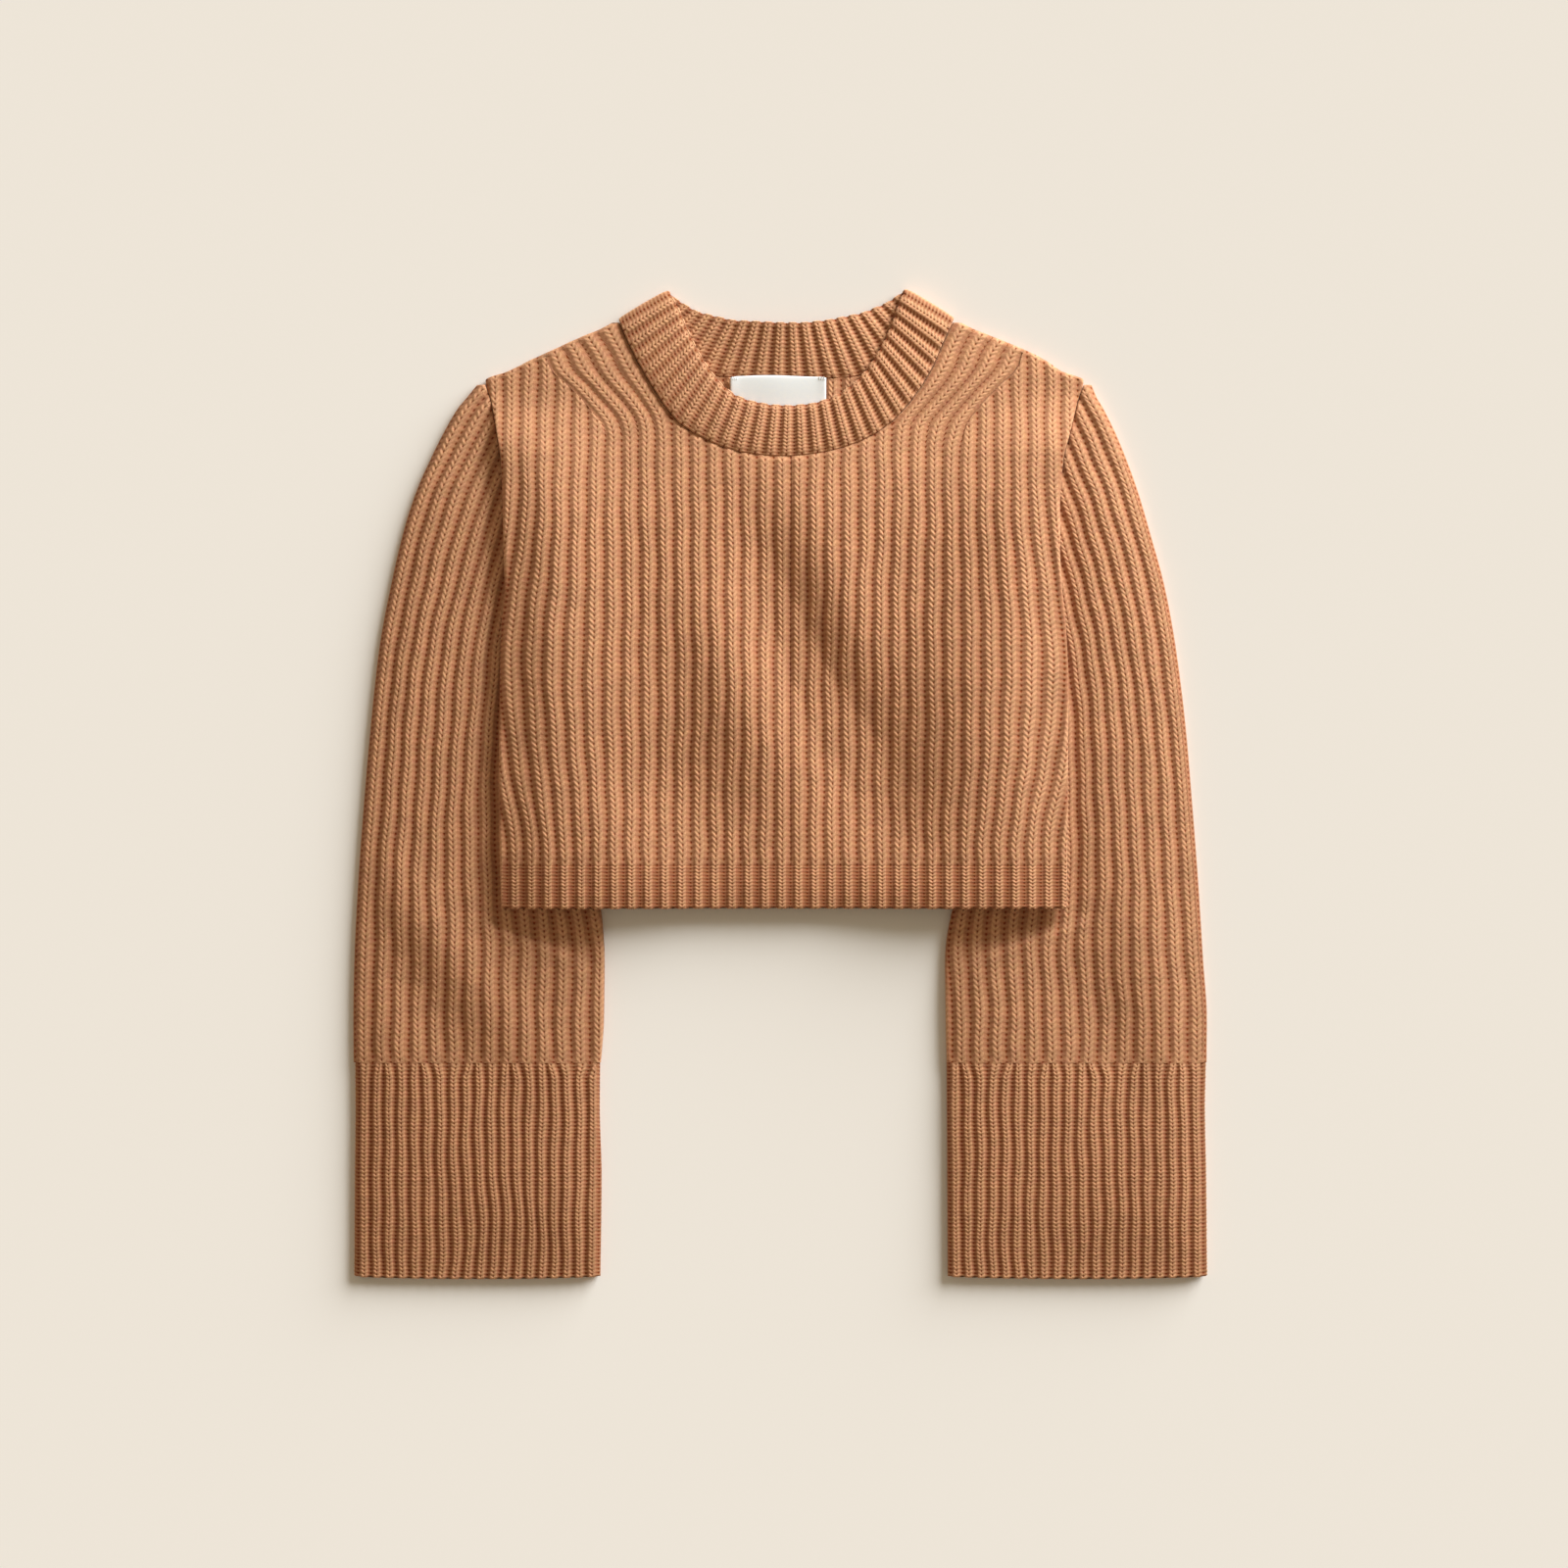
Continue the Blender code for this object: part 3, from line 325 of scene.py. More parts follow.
def sleeve_slack(side, x, y):
    """The same for a sleeve or cuff. Under the body there is none."""
    away = -OUTWARD[side]
    under = ease((HEM_EDGE - UNDER_BODY - y) / UNDER_OVER)
    limit = outline(side, y) * (1 - under) + sleeve_x(side + "_inner", y) * under
    window = (ease(away * (limit - x) / SLEEVE_SIDES[0])
              * ease(away * (x - sleeve_x(side + "_outer", y)) / SLEEVE_SIDES[1]))
    window = window * (CUFF_SLACK + (1 - CUFF_SLACK) * ease((y - CUFF_EDGE) / CUFF_OVER))
    window = window * ease((SLEEVE_FLAT - y) / SLEEVE_OVER)
    return above_zero(window * (SLEEVE_EASE + bells(SLEEVE_FOLDS, x, y)))


def layer_z(face, distance, share):
    """Height of a face of two layers closed round an edge: share is 1 sewn, 0 open."""
    outer = (OPEN_ROUNDING + (1 - OPEN_ROUNDING) * share) * rounding(distance, ROUND)
    inner = share * rounding(distance - CLOTH, ROUND_INSIDE)
    return {"back_out": outer, "back_in": CLOTH + inner,
            "front_in": LAYERS - CLOTH - inner, "front_out": LAYERS - outer}[face]


def body_z(face, x, y):
    """Height of one of the body's four faces, without ribs."""
    low = (x - outline("low", y)) * edge_cosine("low", y)
    high = (outline("high", y) - x) * edge_cosine("high", y)
    share = read(CLOSING, "share", y)
    slack = body_slack(x, y)
    if face.startswith("back"):
        over = np.maximum(slack - BACK_START, 0.0)
        slack = over * over / (over + BACK_SOFT)
    return body_lift(x, y) + layer_z(face, np.maximum(np.minimum(low, high), 0.0), share) + slack


chest = float(body_z("front_out", np.array(60.0), np.array(60.0)))
print("height on the chest, mm:", round(chest, 1))

# %% [markdown]
# ## Where the ribs run
# Each rib has a number, its wale, and each row of stitches a number, its course. The ribs run
# up the body, and beside the neck four of them turn and follow the neck seam. That shaping is
# what a knitter calls full fashioning.

# %% Ribs of the body


def body_rib_x(number, y):
    """X of an upright rib: pitch times number, and a share of its cube where the cloth spreads."""
    return RIB_CENTRE + read(RIBS, "pitch", y) * number + read(RIBS, "spread", y) * number ** 3


def upright_wale(x, y):
    """Number of the upright rib at a place: the formula above turned round by Newton's steps."""
    pitch, spread = read(RIBS, "pitch", y), read(RIBS, "spread", y)
    number = (x - RIB_CENTRE) / pitch
    for step in range(4):
        over = RIB_CENTRE + pitch * number + spread * number ** 3 - x
        number = number - over / (pitch + 3 * spread * number ** 2)
    return number


def neck_x(curve, side, y):
    """X of a panel's neck edge at the height y, clear of the neck seam."""
    points = np.array(curve)
    lowest = int(np.argmin(points[:, 1]))
    half = points[lowest::-1] if side == "low" else points[lowest:]
    return np.interp(y + NECK_ROOM[1], half[:, 1], half[:, 0]) + OUTWARD[side] * NECK_ROOM[0]


def shaping_x(side, y):
    """X of the line where the upright ribs end beside the neck."""
    return CENTRE + OUTWARD[side] * read(SHAPING, "reach", y)


def curve_distance(curve, x, y):
    """Shortest distance from each place to a curve of straight pieces."""
    points = np.array(curve)
    best = np.full(np.shape(x), 1e9)
    for start, end in zip(points[:-1], points[1:]):
        run = end - start
        t = np.clip(((x - start[0]) * run[0] + (y - start[1]) * run[1]) / (run @ run), 0.0, 1.0)
        best = np.minimum(best, np.hypot(x - start[0] - t * run[0], y - start[1] - t * run[1]))
    return best


pitch = float(body_rib_x(1.0, 78.0) - body_rib_x(0.0, 78.0))
print("rib pitch on the chest:", round(pitch, 2), "mm")

# %% [markdown]
# ## The stitch itself
# A knit stitch shows as a V: two plump legs of yarn that lean outward. V after V stacks into a
# rib, and between two ribs lies a valley of purl bumps. The height of the cloth is worked out
# from the place across the rib and along it. Real loops of yarn would need millions of faces,
# and a picture of them would be flat, so the V is a height on a fine grid. Each kind of knitting
# has its own table: lengths are in millimetres, and shares count from a rib's middle, where 0.5
# is the valley.

# %% Height of the stitches
# In each table the last two numbers are painted shade of the finish: the valley's share of light
# yarn, and how far it swings along the courses
BODY_KNIT = {"course": 3.7, "height": 1.25, "crest": 0.25, "shoulder": 0.26, "foot": 0.48,
             "rise": 0.8, "strand": 0.23, "purl": 0.12, "ground": 0.31, "hatch": 0.18}
HEM_KNIT = {"course": 2.3, "height": 0.95, "crest": 0.21, "shoulder": 0.10, "foot": 0.30,
            "rise": 0.5, "strand": 0.24, "purl": 0.12, "ground": 0.18, "hatch": 0.22}
CUFF_KNIT = {"course": 2.6, "height": 1.3, "crest": 0.26, "shoulder": 0.18, "foot": 0.41,
             "rise": 0.5, "strand": 0.32, "purl": 0.18, "ground": 0.17, "hatch": 0.34}
VALLEY = 0.15
LEG_SHARE = 0.20
LEG_EDGE = 0.01
FALL = 0.4
UNEVEN = 0.38
FINE_LEG = (0.0, 0.2, 0.5, 0.8, 1.0)
COARSE_LEG = (0.0, 0.25, 0.75, 1.0)
FLANK = (0.33, 0.67, 1.0)
chance = np.random.default_rng(7).uniform(-1.0, 1.0, (64, 256))


def lean(wale, knit):
    """How many courses higher the yarn is than at the V's foot: up its leg, and down the flank."""
    away = np.abs(wale - np.round(wale))
    flank = np.clip((away - knit["crest"]) / (0.5 - knit["crest"]), 0.0, 1.0)
    return knit["rise"] * (np.minimum(away / knit["crest"], 1.0) - FALL * flank)


def stitch_height(wale, course, knit):
    """A broad rib, two round legs on it, a wave along each leg and smaller bumps on the flanks.

    No two stitches of soft yarn are the same, so each one's wave is a little stronger or weaker.
    """
    away = np.abs(wale - np.round(wale))
    top = ease((knit["foot"] - away) / knit["shoulder"])
    half = knit["crest"] / 2
    leg = np.sqrt(np.clip(1 - ((away - half) / (half + LEG_EDGE)) ** 2, 0.0, 1.0))
    phase = course - lean(wale, knit)
    wave = np.cos(2 * np.pi * phase)
    own = chance[np.round(wale).astype(int) % 64, np.round(phase).astype(int) % 256]
    relief = knit["strand"] * leg + knit["purl"] * (1 - leg)
    return (knit["height"] * ((1 - LEG_SHARE) * top + LEG_SHARE * leg * (1 + UNEVEN * own))
            - VALLEY * (1 - top) + relief * wave * (1 + UNEVEN * own))


def wales(first, last, knit):
    """Wale numbers of a grid's columns: fine steps over each leg of the V, and three down a flank.

    The legs of the body's stitches get four steps, and those of the trims three.
    """
    crest = knit["crest"]
    half = np.concatenate((crest * np.array(FINE_LEG if knit is BODY_KNIT else COARSE_LEG),
                           crest + (0.5 - crest) * np.array(FLANK)))
    fractions = np.concatenate((half, 1 - half[-2:0:-1]))
    whole = np.arange(np.floor(first), np.ceil(last) + 1)
    every = (whole[:, None] + fractions[None, :]).ravel()
    inside = every[(every > first + 1e-6) & (every < last - 1e-6)]
    return np.concatenate(([first], inside, [last]))


print("a body stitch is", BODY_KNIT["course"], "mm high, a cuff's", CUFF_KNIT["course"], "mm")
print("columns to a rib:", len(wales(0.0, 1.0, BODY_KNIT)) - 1)

# %% [markdown]
# ## From grids to one closed mesh
# A wall of cloth has a fine outer grid and a coarse inner one. Their borders are sewn together
# like a zip: the next tooth is always taken on the side that lags behind. Points that fall
# together are merged, and triangles that lose their area are dropped.

# %% Collect grids and make a mesh


class Cloth:
    """Grids of points in millimetres, gathered into one closed mesh."""

    def __init__(self):
        self.points, self.uv, self.plain, self.triangles, self.crease = [], [], [], [], []
        self.size = 0

    def grid(self, x, y, z, wale, course, plain):
        """Add a grid. plain is 1 where the ribs aren't in the shape, so the finish draws them."""
        x, y, z, wale, course, plain = np.broadcast_arrays(x, y, z, wale, course, plain)
        self.points.append(np.stack((x, y, z), axis=-1).reshape(-1, 3))
        self.uv.append(np.stack((wale, course), axis=-1).reshape(-1, 2))
        self.plain.append(plain.ravel())
        index = self.size + np.arange(x.size).reshape(x.shape)
        self.size += x.size
        return index

    def add(self, triangles, crease=False):
        """Keep some triangles. A crease keeps their shading apart from their neighbours'."""
        self.triangles.append(triangles)
        self.crease.append(np.full(len(triangles), crease))

    def surface(self, index, up=True):
        """Two triangles for each cell of a grid."""
        a, b, c, d = index[:-1, :-1], index[:-1, 1:], index[1:, 1:], index[1:, :-1]
        faces = np.concatenate((np.stack((a, b, c), -1).reshape(-1, 3),
                                np.stack((a, c, d), -1).reshape(-1, 3)))
        self.add(faces if up else faces[:, ::-1])

    def zip(self, one, two, crease=False):
        """Triangles between two rows of points, matched by their share of the row's length."""
        points = np.concatenate(self.points)
        middles = []
        for row in (one, two):
            step = np.linalg.norm(np.diff(points[row], axis=0), axis=1)
            share = np.concatenate(([0.0], np.cumsum(step))) / max(step.sum(), 1e-9)
            middles.append((share[:-1] + share[1:]) / 2)
        there = np.searchsorted(middles[1], middles[0])
        here = np.searchsorted(middles[0], middles[1], side="right")
        self.add(np.concatenate((np.stack((one[:-1], one[1:], two[there]), -1),
                                 np.stack((one[here], two[1:], two[:-1]), -1))), crease)

    def wall(self, outer, inner, creased=()):
        """Close a fine outer grid and a coarse inner one into a wall."""
        self.surface(outer)
        self.surface(inner, up=False)
        self.zip(inner[0], outer[0], "first" in creased)
        self.zip(outer[-1], inner[-1], "last" in creased)
        self.zip(outer[:, 0], inner[:, 0], "low" in creased)
        self.zip(inner[:, -1], outer[:, -1], "high" in creased)

    def mesh(self, name):
        """Merge, drop empty triangles, turn the faces outward and make the object."""
        points = np.concatenate(self.points)
        triangles = np.concatenate(self.triangles)

        # Points in the same cell, a thousandth of a millimetre wide, are one point
        cell = np.round(points * 1000).astype(np.int64) + 2 ** 20
        key = (cell[:, 0] << 42) + (cell[:, 1] << 21) + cell[:, 2]
        first, place = np.unique(key, return_index=True, return_inverse=True)[1:]
        merged = place[triangles]
        keep = ((merged[:, 0] != merged[:, 1]) & (merged[:, 1] != merged[:, 2])
                & (merged[:, 2] != merged[:, 0]))
        merged, source = merged[keep], triangles[keep]
        crease = np.concatenate(self.crease)[keep]

        # The sum of these products is six times the volume, and below 0 if the faces point in
        corners = points[first][merged]
        volume = np.einsum("ij,ij->i", corners[:, 0], np.cross(corners[:, 1], corners[:, 2])).sum()
        if volume < 0:
            merged, source = merged[:, ::-1], source[:, ::-1]
        mesh = bpy.data.meshes.new(name)
        mesh.from_pydata((points[first] * MM).tolist(), [], merged.tolist())
        mesh.polygons.foreach_set("use_smooth", ~crease)
        layer = mesh.uv_layers.new(name="knit")
        layer.data.foreach_set("uv", np.concatenate(self.uv)[source].ravel().astype(np.float32))
        plain = mesh.attributes.new("plain", "FLOAT", "POINT")
        plain.data.foreach_set("value", np.concatenate(self.plain)[first].astype(np.float32))
        mesh.update()
        obj = bpy.data.objects.new(name, mesh)
        bpy.context.scene.collection.objects.link(obj)
        print(name, len(merged), "triangles,", round(abs(volume) / 6000, 1), "cm3")
        return obj


# %% [markdown]
# ## The front
# The front is the showpiece, so its grid has fourteen columns to a rib and four rows to a
# course, and the rows lean with the legs of the V's. It is made as two halves that meet in the
# bottom of a valley, where the join can't be seen, to keep each mesh light. Three things keep it
# from looking printed: the ribs drift a little, the stitches grow looser and flatter towards the
# shoulders, and no two are the same. Beside the hem the stitches shrink to the hem's own, and
# one very narrow row ends the grid, so the shading of the end wall doesn't spread over a course.

# %% Sizes of the front
ROW = BODY_KNIT["course"] / 4
# The rounded strip along an outline, and the most that it and a wall take of a narrow row
EDGE_STEPS = np.array((0.0, 0.15, 0.5, 1.0, 1.8, 2.85))
STRIP = float(EDGE_STEPS[-1])
EDGE_SHARES = EDGE_STEPS[:-1] / STRIP
STRIP_SHARE = 0.45
WALL_SHARE = 0.3
# The stitches beside the neck seam and a join, and on the loose shoulders
SEAM_DROP = 0.55
SEAM_SOFT = 2.6
SEAM_RELIEF = 0.45
SEAM_RELIEF_OVER = 3.0
JOIN_SOFT = 6.0
JOIN_ROW = 0.06
LOOSE = 0.42
LOOSE_FROM = 150.0
LOOSE_OVER = 90.0
# How the ribs turn beside the neck, and the mark where upright ribs meet them
TURN_LENGTH = 15.0
TURN_SOFT = 5.0
MARK_WIDE = 1.8
MARK_LEVEL = 0.5
MARK_STRENGTH = 0.8
# Where the rows run straight instead of leaning with the V's
CALM_AT_HEM = 8.0
CALM_AT_NECK = (206.0, 12.0)
CALM_AT_SIDE = (3.0, 6.0)
# Each wave of the drift: its height, its length, its swing, and the swing's length and start
DRIFTS = ((0.30, 7.0, 2.3, 13.0, 0.0), (0.40, 19.0, 1.9, 21.0, 1.0))
DRIFT_FROM = 2.0
DRIFT_OVER = 10.0
FAR = 99.0


def farther(sign, one, two):
    """Whichever of two X lies farther out from the centre line."""
    return sign * np.maximum(sign * one, sign * two)


def nearer(sign, one, two):
    """Whichever of two X lies nearer to the centre line."""
    return sign * np.minimum(sign * one, sign * two)


def in_neck(y):
    """Whether a height lies above the lowest point of the front's neck edge."""
    return y > NECK_LOW[1] - NECK_ROOM[1] + 0.01


def inner_line(side, y):
    """X of a half's inner edge: the centre join, and the neck seam above it."""
    return np.where(in_neck(y), neck_x(FRONT_NECK, side, y), body_rib_x(SPLIT_WALE, y))


def yoke_lines(side, y):
    """First and last rib that hugs the neck, and how far the ribs have turned, at height y.

    The first line is the farther of the upright rib and the seam, with the corner between the
    two rounded: the mean of both, plus half the root of their squared distance and a small square.
    """
    sign = OUTWARD[side]
    turned = ease((y - NECK_LOW[1]) / TURN_LENGTH)
    upright = body_rib_x(sign * HUG_FIRST, y)
    near = np.where(in_neck(y), neck_x(FRONT_NECK, side, y), upright - sign * FAR)
    first = (upright + near) / 2 + sign * np.hypot(upright - near, TURN_SOFT) / 2
    upright = body_rib_x(sign * HUG_LAST, y)
    last = upright + (shaping_x(side, y) - upright) * turned
    return first, last, turned


def front_wale(side, x, y):
    """Number of the rib at a place on the front: upright, or counted between the hugging lines."""
    sign = OUTWARD[side]
    first, last, turned = yoke_lines(side, y)
    upright = upright_wale(x, y)
    span = np.maximum(sign * (last - first), 1e-6)
    hugging = sign * (HUG_FIRST + (HUG_LAST - HUG_FIRST) * sign * (x - first) / span)
    between = (sign * x > sign * first) & (sign * x < sign * last) & (y > NECK_LOW[1])
    return np.where(between, hugging * turned + upright * (1 - turned), upright)


def hugging_course(side, wale, x, rows):
    """Course number beside the neck: the length along the middle of each rib that turns.

    A course runs square to its rib, so the sideways distance from the middle counts with the
    sine of the rib's slope.
    """
    ribs = np.arange(7, 11)[None, :]
    first, last, turned = yoke_lines(side, rows[:, None])
    upright = body_rib_x(OUTWARD[side] * ribs, rows[:, None])
    share = (ribs - HUG_FIRST) / (HUG_LAST - HUG_FIRST)
    middle = upright + (first + (last - first) * share - upright) * turned
    slope = np.gradient(middle, rows, axis=0)
    steps = np.sqrt(1 + slope[1:] ** 2) * np.diff(rows)[:, None]
    length = np.concatenate((np.zeros((1, 4)), np.cumsum(steps, axis=0)))
    which = np.clip(np.round(np.abs(wale)), 7, 10).astype(int) - 7
    along, centre, tilt = (np.take_along_axis(part, which, axis=1)
                           for part in (length, middle, slope / np.sqrt(1 + slope ** 2)))
    return (along + (x - centre) * tilt) / BODY_KNIT["course"]


def drift(x, y):
    """Sideways wander of the ribs in millimetres: slow waves along them, out of step across."""
    return sum(high * np.sin(y / long + swing * np.sin(x / wide + shift))
               for high, long, swing, wide, shift in DRIFTS)


def beside(*parts):
    """Grids with equal rows, set side by side."""
    return np.concatenate(parts, axis=1)


def front_relief(side, x, y, wale, course, start):
    """Height of the stitches, with all that changes it near seams and shoulders.

    It comes with the distance from the neck seam, which the caller needs again.
    """
    relief = stitch_height(wale, course, BODY_KNIT)
    last = yoke_lines(side, y)[1]
    mark = np.abs(x - last) / MARK_WIDE + FAR * (y < NECK_LOW[1] + TURN_LENGTH)
    level = MARK_LEVEL * BODY_KNIT["height"]
    relief = relief + (level - relief) * MARK_STRENGTH * (1 - ease(mark))
    relief = relief * (1 - LOOSE * ease((y - LOOSE_FROM) / LOOSE_OVER))
    seam = curve_distance(FRONT_NECK, x, y)
    relief = relief * (SEAM_RELIEF + (1 - SEAM_RELIEF) * ease(seam / SEAM_RELIEF_OVER))
    hem = stitch_height(wale, (y - HEM_SEAM) / HEM_KNIT["course"], HEM_KNIT)
    return relief + (hem - relief) * (1 - ease((y - start) / JOIN_SOFT)), seam


print("rows to a course of the front:", round(BODY_KNIT["course"] / ROW))

# %% [markdown]
# The grid of a half is made in four steps: rows that lean with the V's, columns that turn beside
# the neck, a rounded strip along the outline, and the height of the stitches. A plain inner face
# closes it into a wall. Displacing a flat sheet would be shorter, but its ribs couldn't turn.

# %% Build the front's halves


def build_front(side):
    """One half of the front, from the hem seam to the shoulder."""
    sign = OUTWARD[side]
    ends = (-OUTER_RIB, SPLIT_WALE) if side == "low" else (SPLIT_WALE, OUTER_RIB)
    number = wales(*ends, BODY_KNIT)[None, :]
    start = HEM_SEAM + JOIN_GAP
    neck = NECK_LOW[1] - NECK_ROOM[1]
    rows = np.concatenate(([start, start + JOIN_ROW], np.arange(start + ROW, neck - 0.3, ROW),
                           [neck], np.arange(NECK_LOW[1] + 0.1, SHOULDER_TOP, ROW),
                           [SHOULDER_TOP]))

    def in_order(one, two):
        """The grid and the strip at the outline, from the low side to the high one."""
        return beside(two, one) if side == "low" else beside(one, two[:, ::-1])

    # Rows that lean with the V's, but run straight at the ends and beside the outline
    shear = BODY_KNIT["course"] * lean(number, BODY_KNIT)
    room = sign * (outline(side, rows[:, None]) - body_rib_x(number, rows[:, None]))
    calm = (ease((rows - start) / CALM_AT_HEM)
            * ease((CALM_AT_NECK[0] - rows) / CALM_AT_NECK[1]))[:, None]
    y = rows[:, None] + shear * calm * ease((room - CALM_AT_SIDE[0]) / CALM_AT_SIDE[1])

    first, last, turned = yoke_lines(side, y)
    count = sign * number
    upright = body_rib_x(number, y)
    hugging = first + (last - first) * (count - HUG_FIRST) / (HUG_LAST - HUG_FIRST)
    x = np.where((count > HUG_FIRST) & (count <= HUG_LAST),
                 upright + (hugging - upright) * turned, upright)
    x = np.where((count > HUG_LAST) & (y > NECK_LOW[1]), farther(sign, x, last), x)
    free = x
    x = np.where(in_neck(y), farther(sign, x, neck_x(FRONT_NECK, side, y)), x)

    def strip(y):
        """X of the outline, and how wide its rounding is."""
        edge = outline(side, y)
        room = STRIP_SHARE * np.abs(edge - inner_line(side, y))
        return edge, np.minimum(STRIP / edge_cosine(side, y), room)

    edge, width = strip(y)
    x = nearer(sign, x, edge - sign * width)
    wale = np.where(np.abs(x - free) > 1e-9, front_wale(side, x, y), number)

    # The rounded strip along the outline
    y_strip = np.repeat(rows[:, None], len(EDGE_SHARES), axis=1)
    edge, width = strip(y_strip)
    x_strip = edge - sign * width * EDGE_SHARES
    wale = in_order(wale, front_wale(side, x_strip, y_strip))
    x, y = in_order(x, x_strip), in_order(y, y_strip)

    course = (y - start) / BODY_KNIT["course"]
    turning = (np.abs(wale) > HUG_FIRST) & (np.abs(wale) < HUG_LAST) & (y > NECK_LOW[1])
    course = np.where(turning, hugging_course(side, wale, x, rows), course)
    relief, seam = front_relief(side, x, y, wale, course, start)
    z = body_z("front_out", x, y) + relief - SEAM_DROP * (1 - ease(seam / SEAM_SOFT))
    from_join = sign * (x - body_rib_x(SPLIT_WALE, y)) + FAR * (y > NECK_LOW[1])
    border = np.minimum.reduce((seam, y - start, sign * (outline(side, y) - x), from_join))
    x = x + drift(x, y) * ease((border - DRIFT_FROM) / DRIFT_OVER)
    cloth = Cloth()
    outer = cloth.grid(x, y, z, wale, course, 0.0)

    # The plain inner face
    rows = np.concatenate((np.linspace(start, neck, 40),
                           np.linspace(NECK_LOW[1] + 0.9, SHOULDER_TOP, 60)))[:, None]
    near, far = inner_line(side, rows), outline(side, rows)
    inset = read(CLOSING, "share", rows) * CLOTH / edge_cosine(side, rows)
    far = far - sign * np.minimum(inset, WALL_SHARE * np.abs(far - near))
    x = near + (far - near) * np.linspace(0.0, 1.0, 30)[None, :]
    if side == "low":
        x = x[:, ::-1]
    inner = cloth.grid(x, rows, body_z("front_in", x, rows), front_wale(side, x, rows),
                       (rows - start) / BODY_KNIT["course"], 1.0)
    cloth.wall(outer, inner, ("first", "high") if side == "low" else ("first", "low"))
    return cloth.mesh("front_half_" + WEARER[side])


front_right = build_front("low")
front_left = build_front("high")

# %% [markdown]
# ## The hem rib
# The hem is knitted tighter, in shorter courses, and its lower edge is bound off. Such an edge
# is a small round, and it is scalloped, because each rib's V's reach a little past the valleys.

# %% Build the front's hem rib
BOUND = CLOTH / 2
BOUND_STEPS = np.array((0.0, 0.12, 0.4, 0.8, 1.2))
SCALLOP = 0.7
SCALLOP_FADE = 6.0
PLAIN_ROW = 4.0
PLAIN_COURSE = 2.5
PLAIN_ENDS = (-180.0, 184.0)


def trim_rows(start, end, step):
    """Rows of a trim, closer together round its bound edge."""
    return np.concatenate((start + BOUND_STEPS, np.arange(start + 1.6, end - 0.3, step),
                           [end - JOIN_ROW, end]))


def rib_reach(wale):
    """How far a bound edge reaches: out on the ribs and back in the valleys."""
    away = np.abs(wale - np.round(wale))
    return SCALLOP * (ease((0.45 - away) / 0.25) - 0.5)


def scallop(wale, above):
    """The reach of a bound edge, which fades with the height above it."""
    return rib_reach(wale) * (1 - ease(above / SCALLOP_FADE))


def full_width(rows, places, inset=0.0):
    """X of a grid from the low outline to the high one: straight columns and rounded strips."""
    low = outline("low", rows) + inset / edge_cosine("low", rows)
    high = outline("high", rows) - inset / edge_cosine("high", rows)
    inside = np.clip(places, low + STRIP, high - STRIP)
    return beside(low + EDGE_STEPS[:-1], inside, high - EDGE_STEPS[-2::-1])


def plain_hem(cloth, face, count, inset, way):
    """A plain face of a hem, which rounds up (way 1) or down (way -1) at its bound edge."""
    rows = trim_rows(HEM_EDGE, HEM_SEAM, PLAIN_ROW)[:, None]
    x = full_width(rows, np.linspace(*PLAIN_ENDS, count)[None, :], inset)
    z = body_z(face, x, rows) + way * rounding(rows - HEM_EDGE, BOUND)
    return cloth.grid(x, rows, z, upright_wale(x, rows), (rows - HEM_EDGE) / PLAIN_COURSE, 1.0)


def build_hem_front():
    """The hem rib of the front."""
    rows = trim_rows(HEM_EDGE, HEM_SEAM, HEM_KNIT["course"] / 4)[:, None]
    number = wales(-OUTER_RIB, OUTER_RIB, HEM_KNIT)[None, :]
    x = full_width(rows, body_rib_x(number, rows))
    wale = upright_wale(x, rows)
    calm = ease((rows - HEM_EDGE - 1.5) / 5.0) * ease((HEM_SEAM - rows) / 4.0)
    room = np.minimum(x - outline("low", rows), outline("high", rows) - x)
    shear = HEM_KNIT["course"] * lean(wale, HEM_KNIT)
    shear = shear * ease((room - CALM_AT_SIDE[0]) / CALM_AT_SIDE[1])
    y = rows + calm * shear - scallop(wale, rows - HEM_EDGE)
    course = (y - HEM_SEAM) / HEM_KNIT["course"]
    z = body_z("front_out", x, rows) + stitch_height(wale, course, HEM_KNIT)
    cloth = Cloth()
    outer = cloth.grid(x, y, z - rounding(rows - HEM_EDGE, BOUND), wale, course, 0.0)
    cloth.wall(outer, plain_hem(cloth, "front_in", 60, CLOTH, 1), ("last",))
    return cloth.mesh("hem_rib_front")

hem_front = build_hem_front()

# %% [markdown]
# ## The back
# Only a strip of the back shows, inside the neck, and its outside lies flat on the floor. Its
# two faces are plain grids, and the finish draws the ribs on them from the wale and course
# numbers that every point carries. It takes both halves in one mesh, joined at the centre.

# %% Build the back and its hem rib


def half_width(near, far, count):
    """X of a grid from a near line to the outline, with the rounded strip at the far end."""
    sign = np.sign(far - near)
    strip = np.minimum(STRIP, STRIP_SHARE * np.abs(far - near))
    inside = near + (far - sign * strip - near) * np.linspace(0.0, 1.0, count)[None, :]
    return beside(inside, far - sign * strip * EDGE_SHARES[::-1])


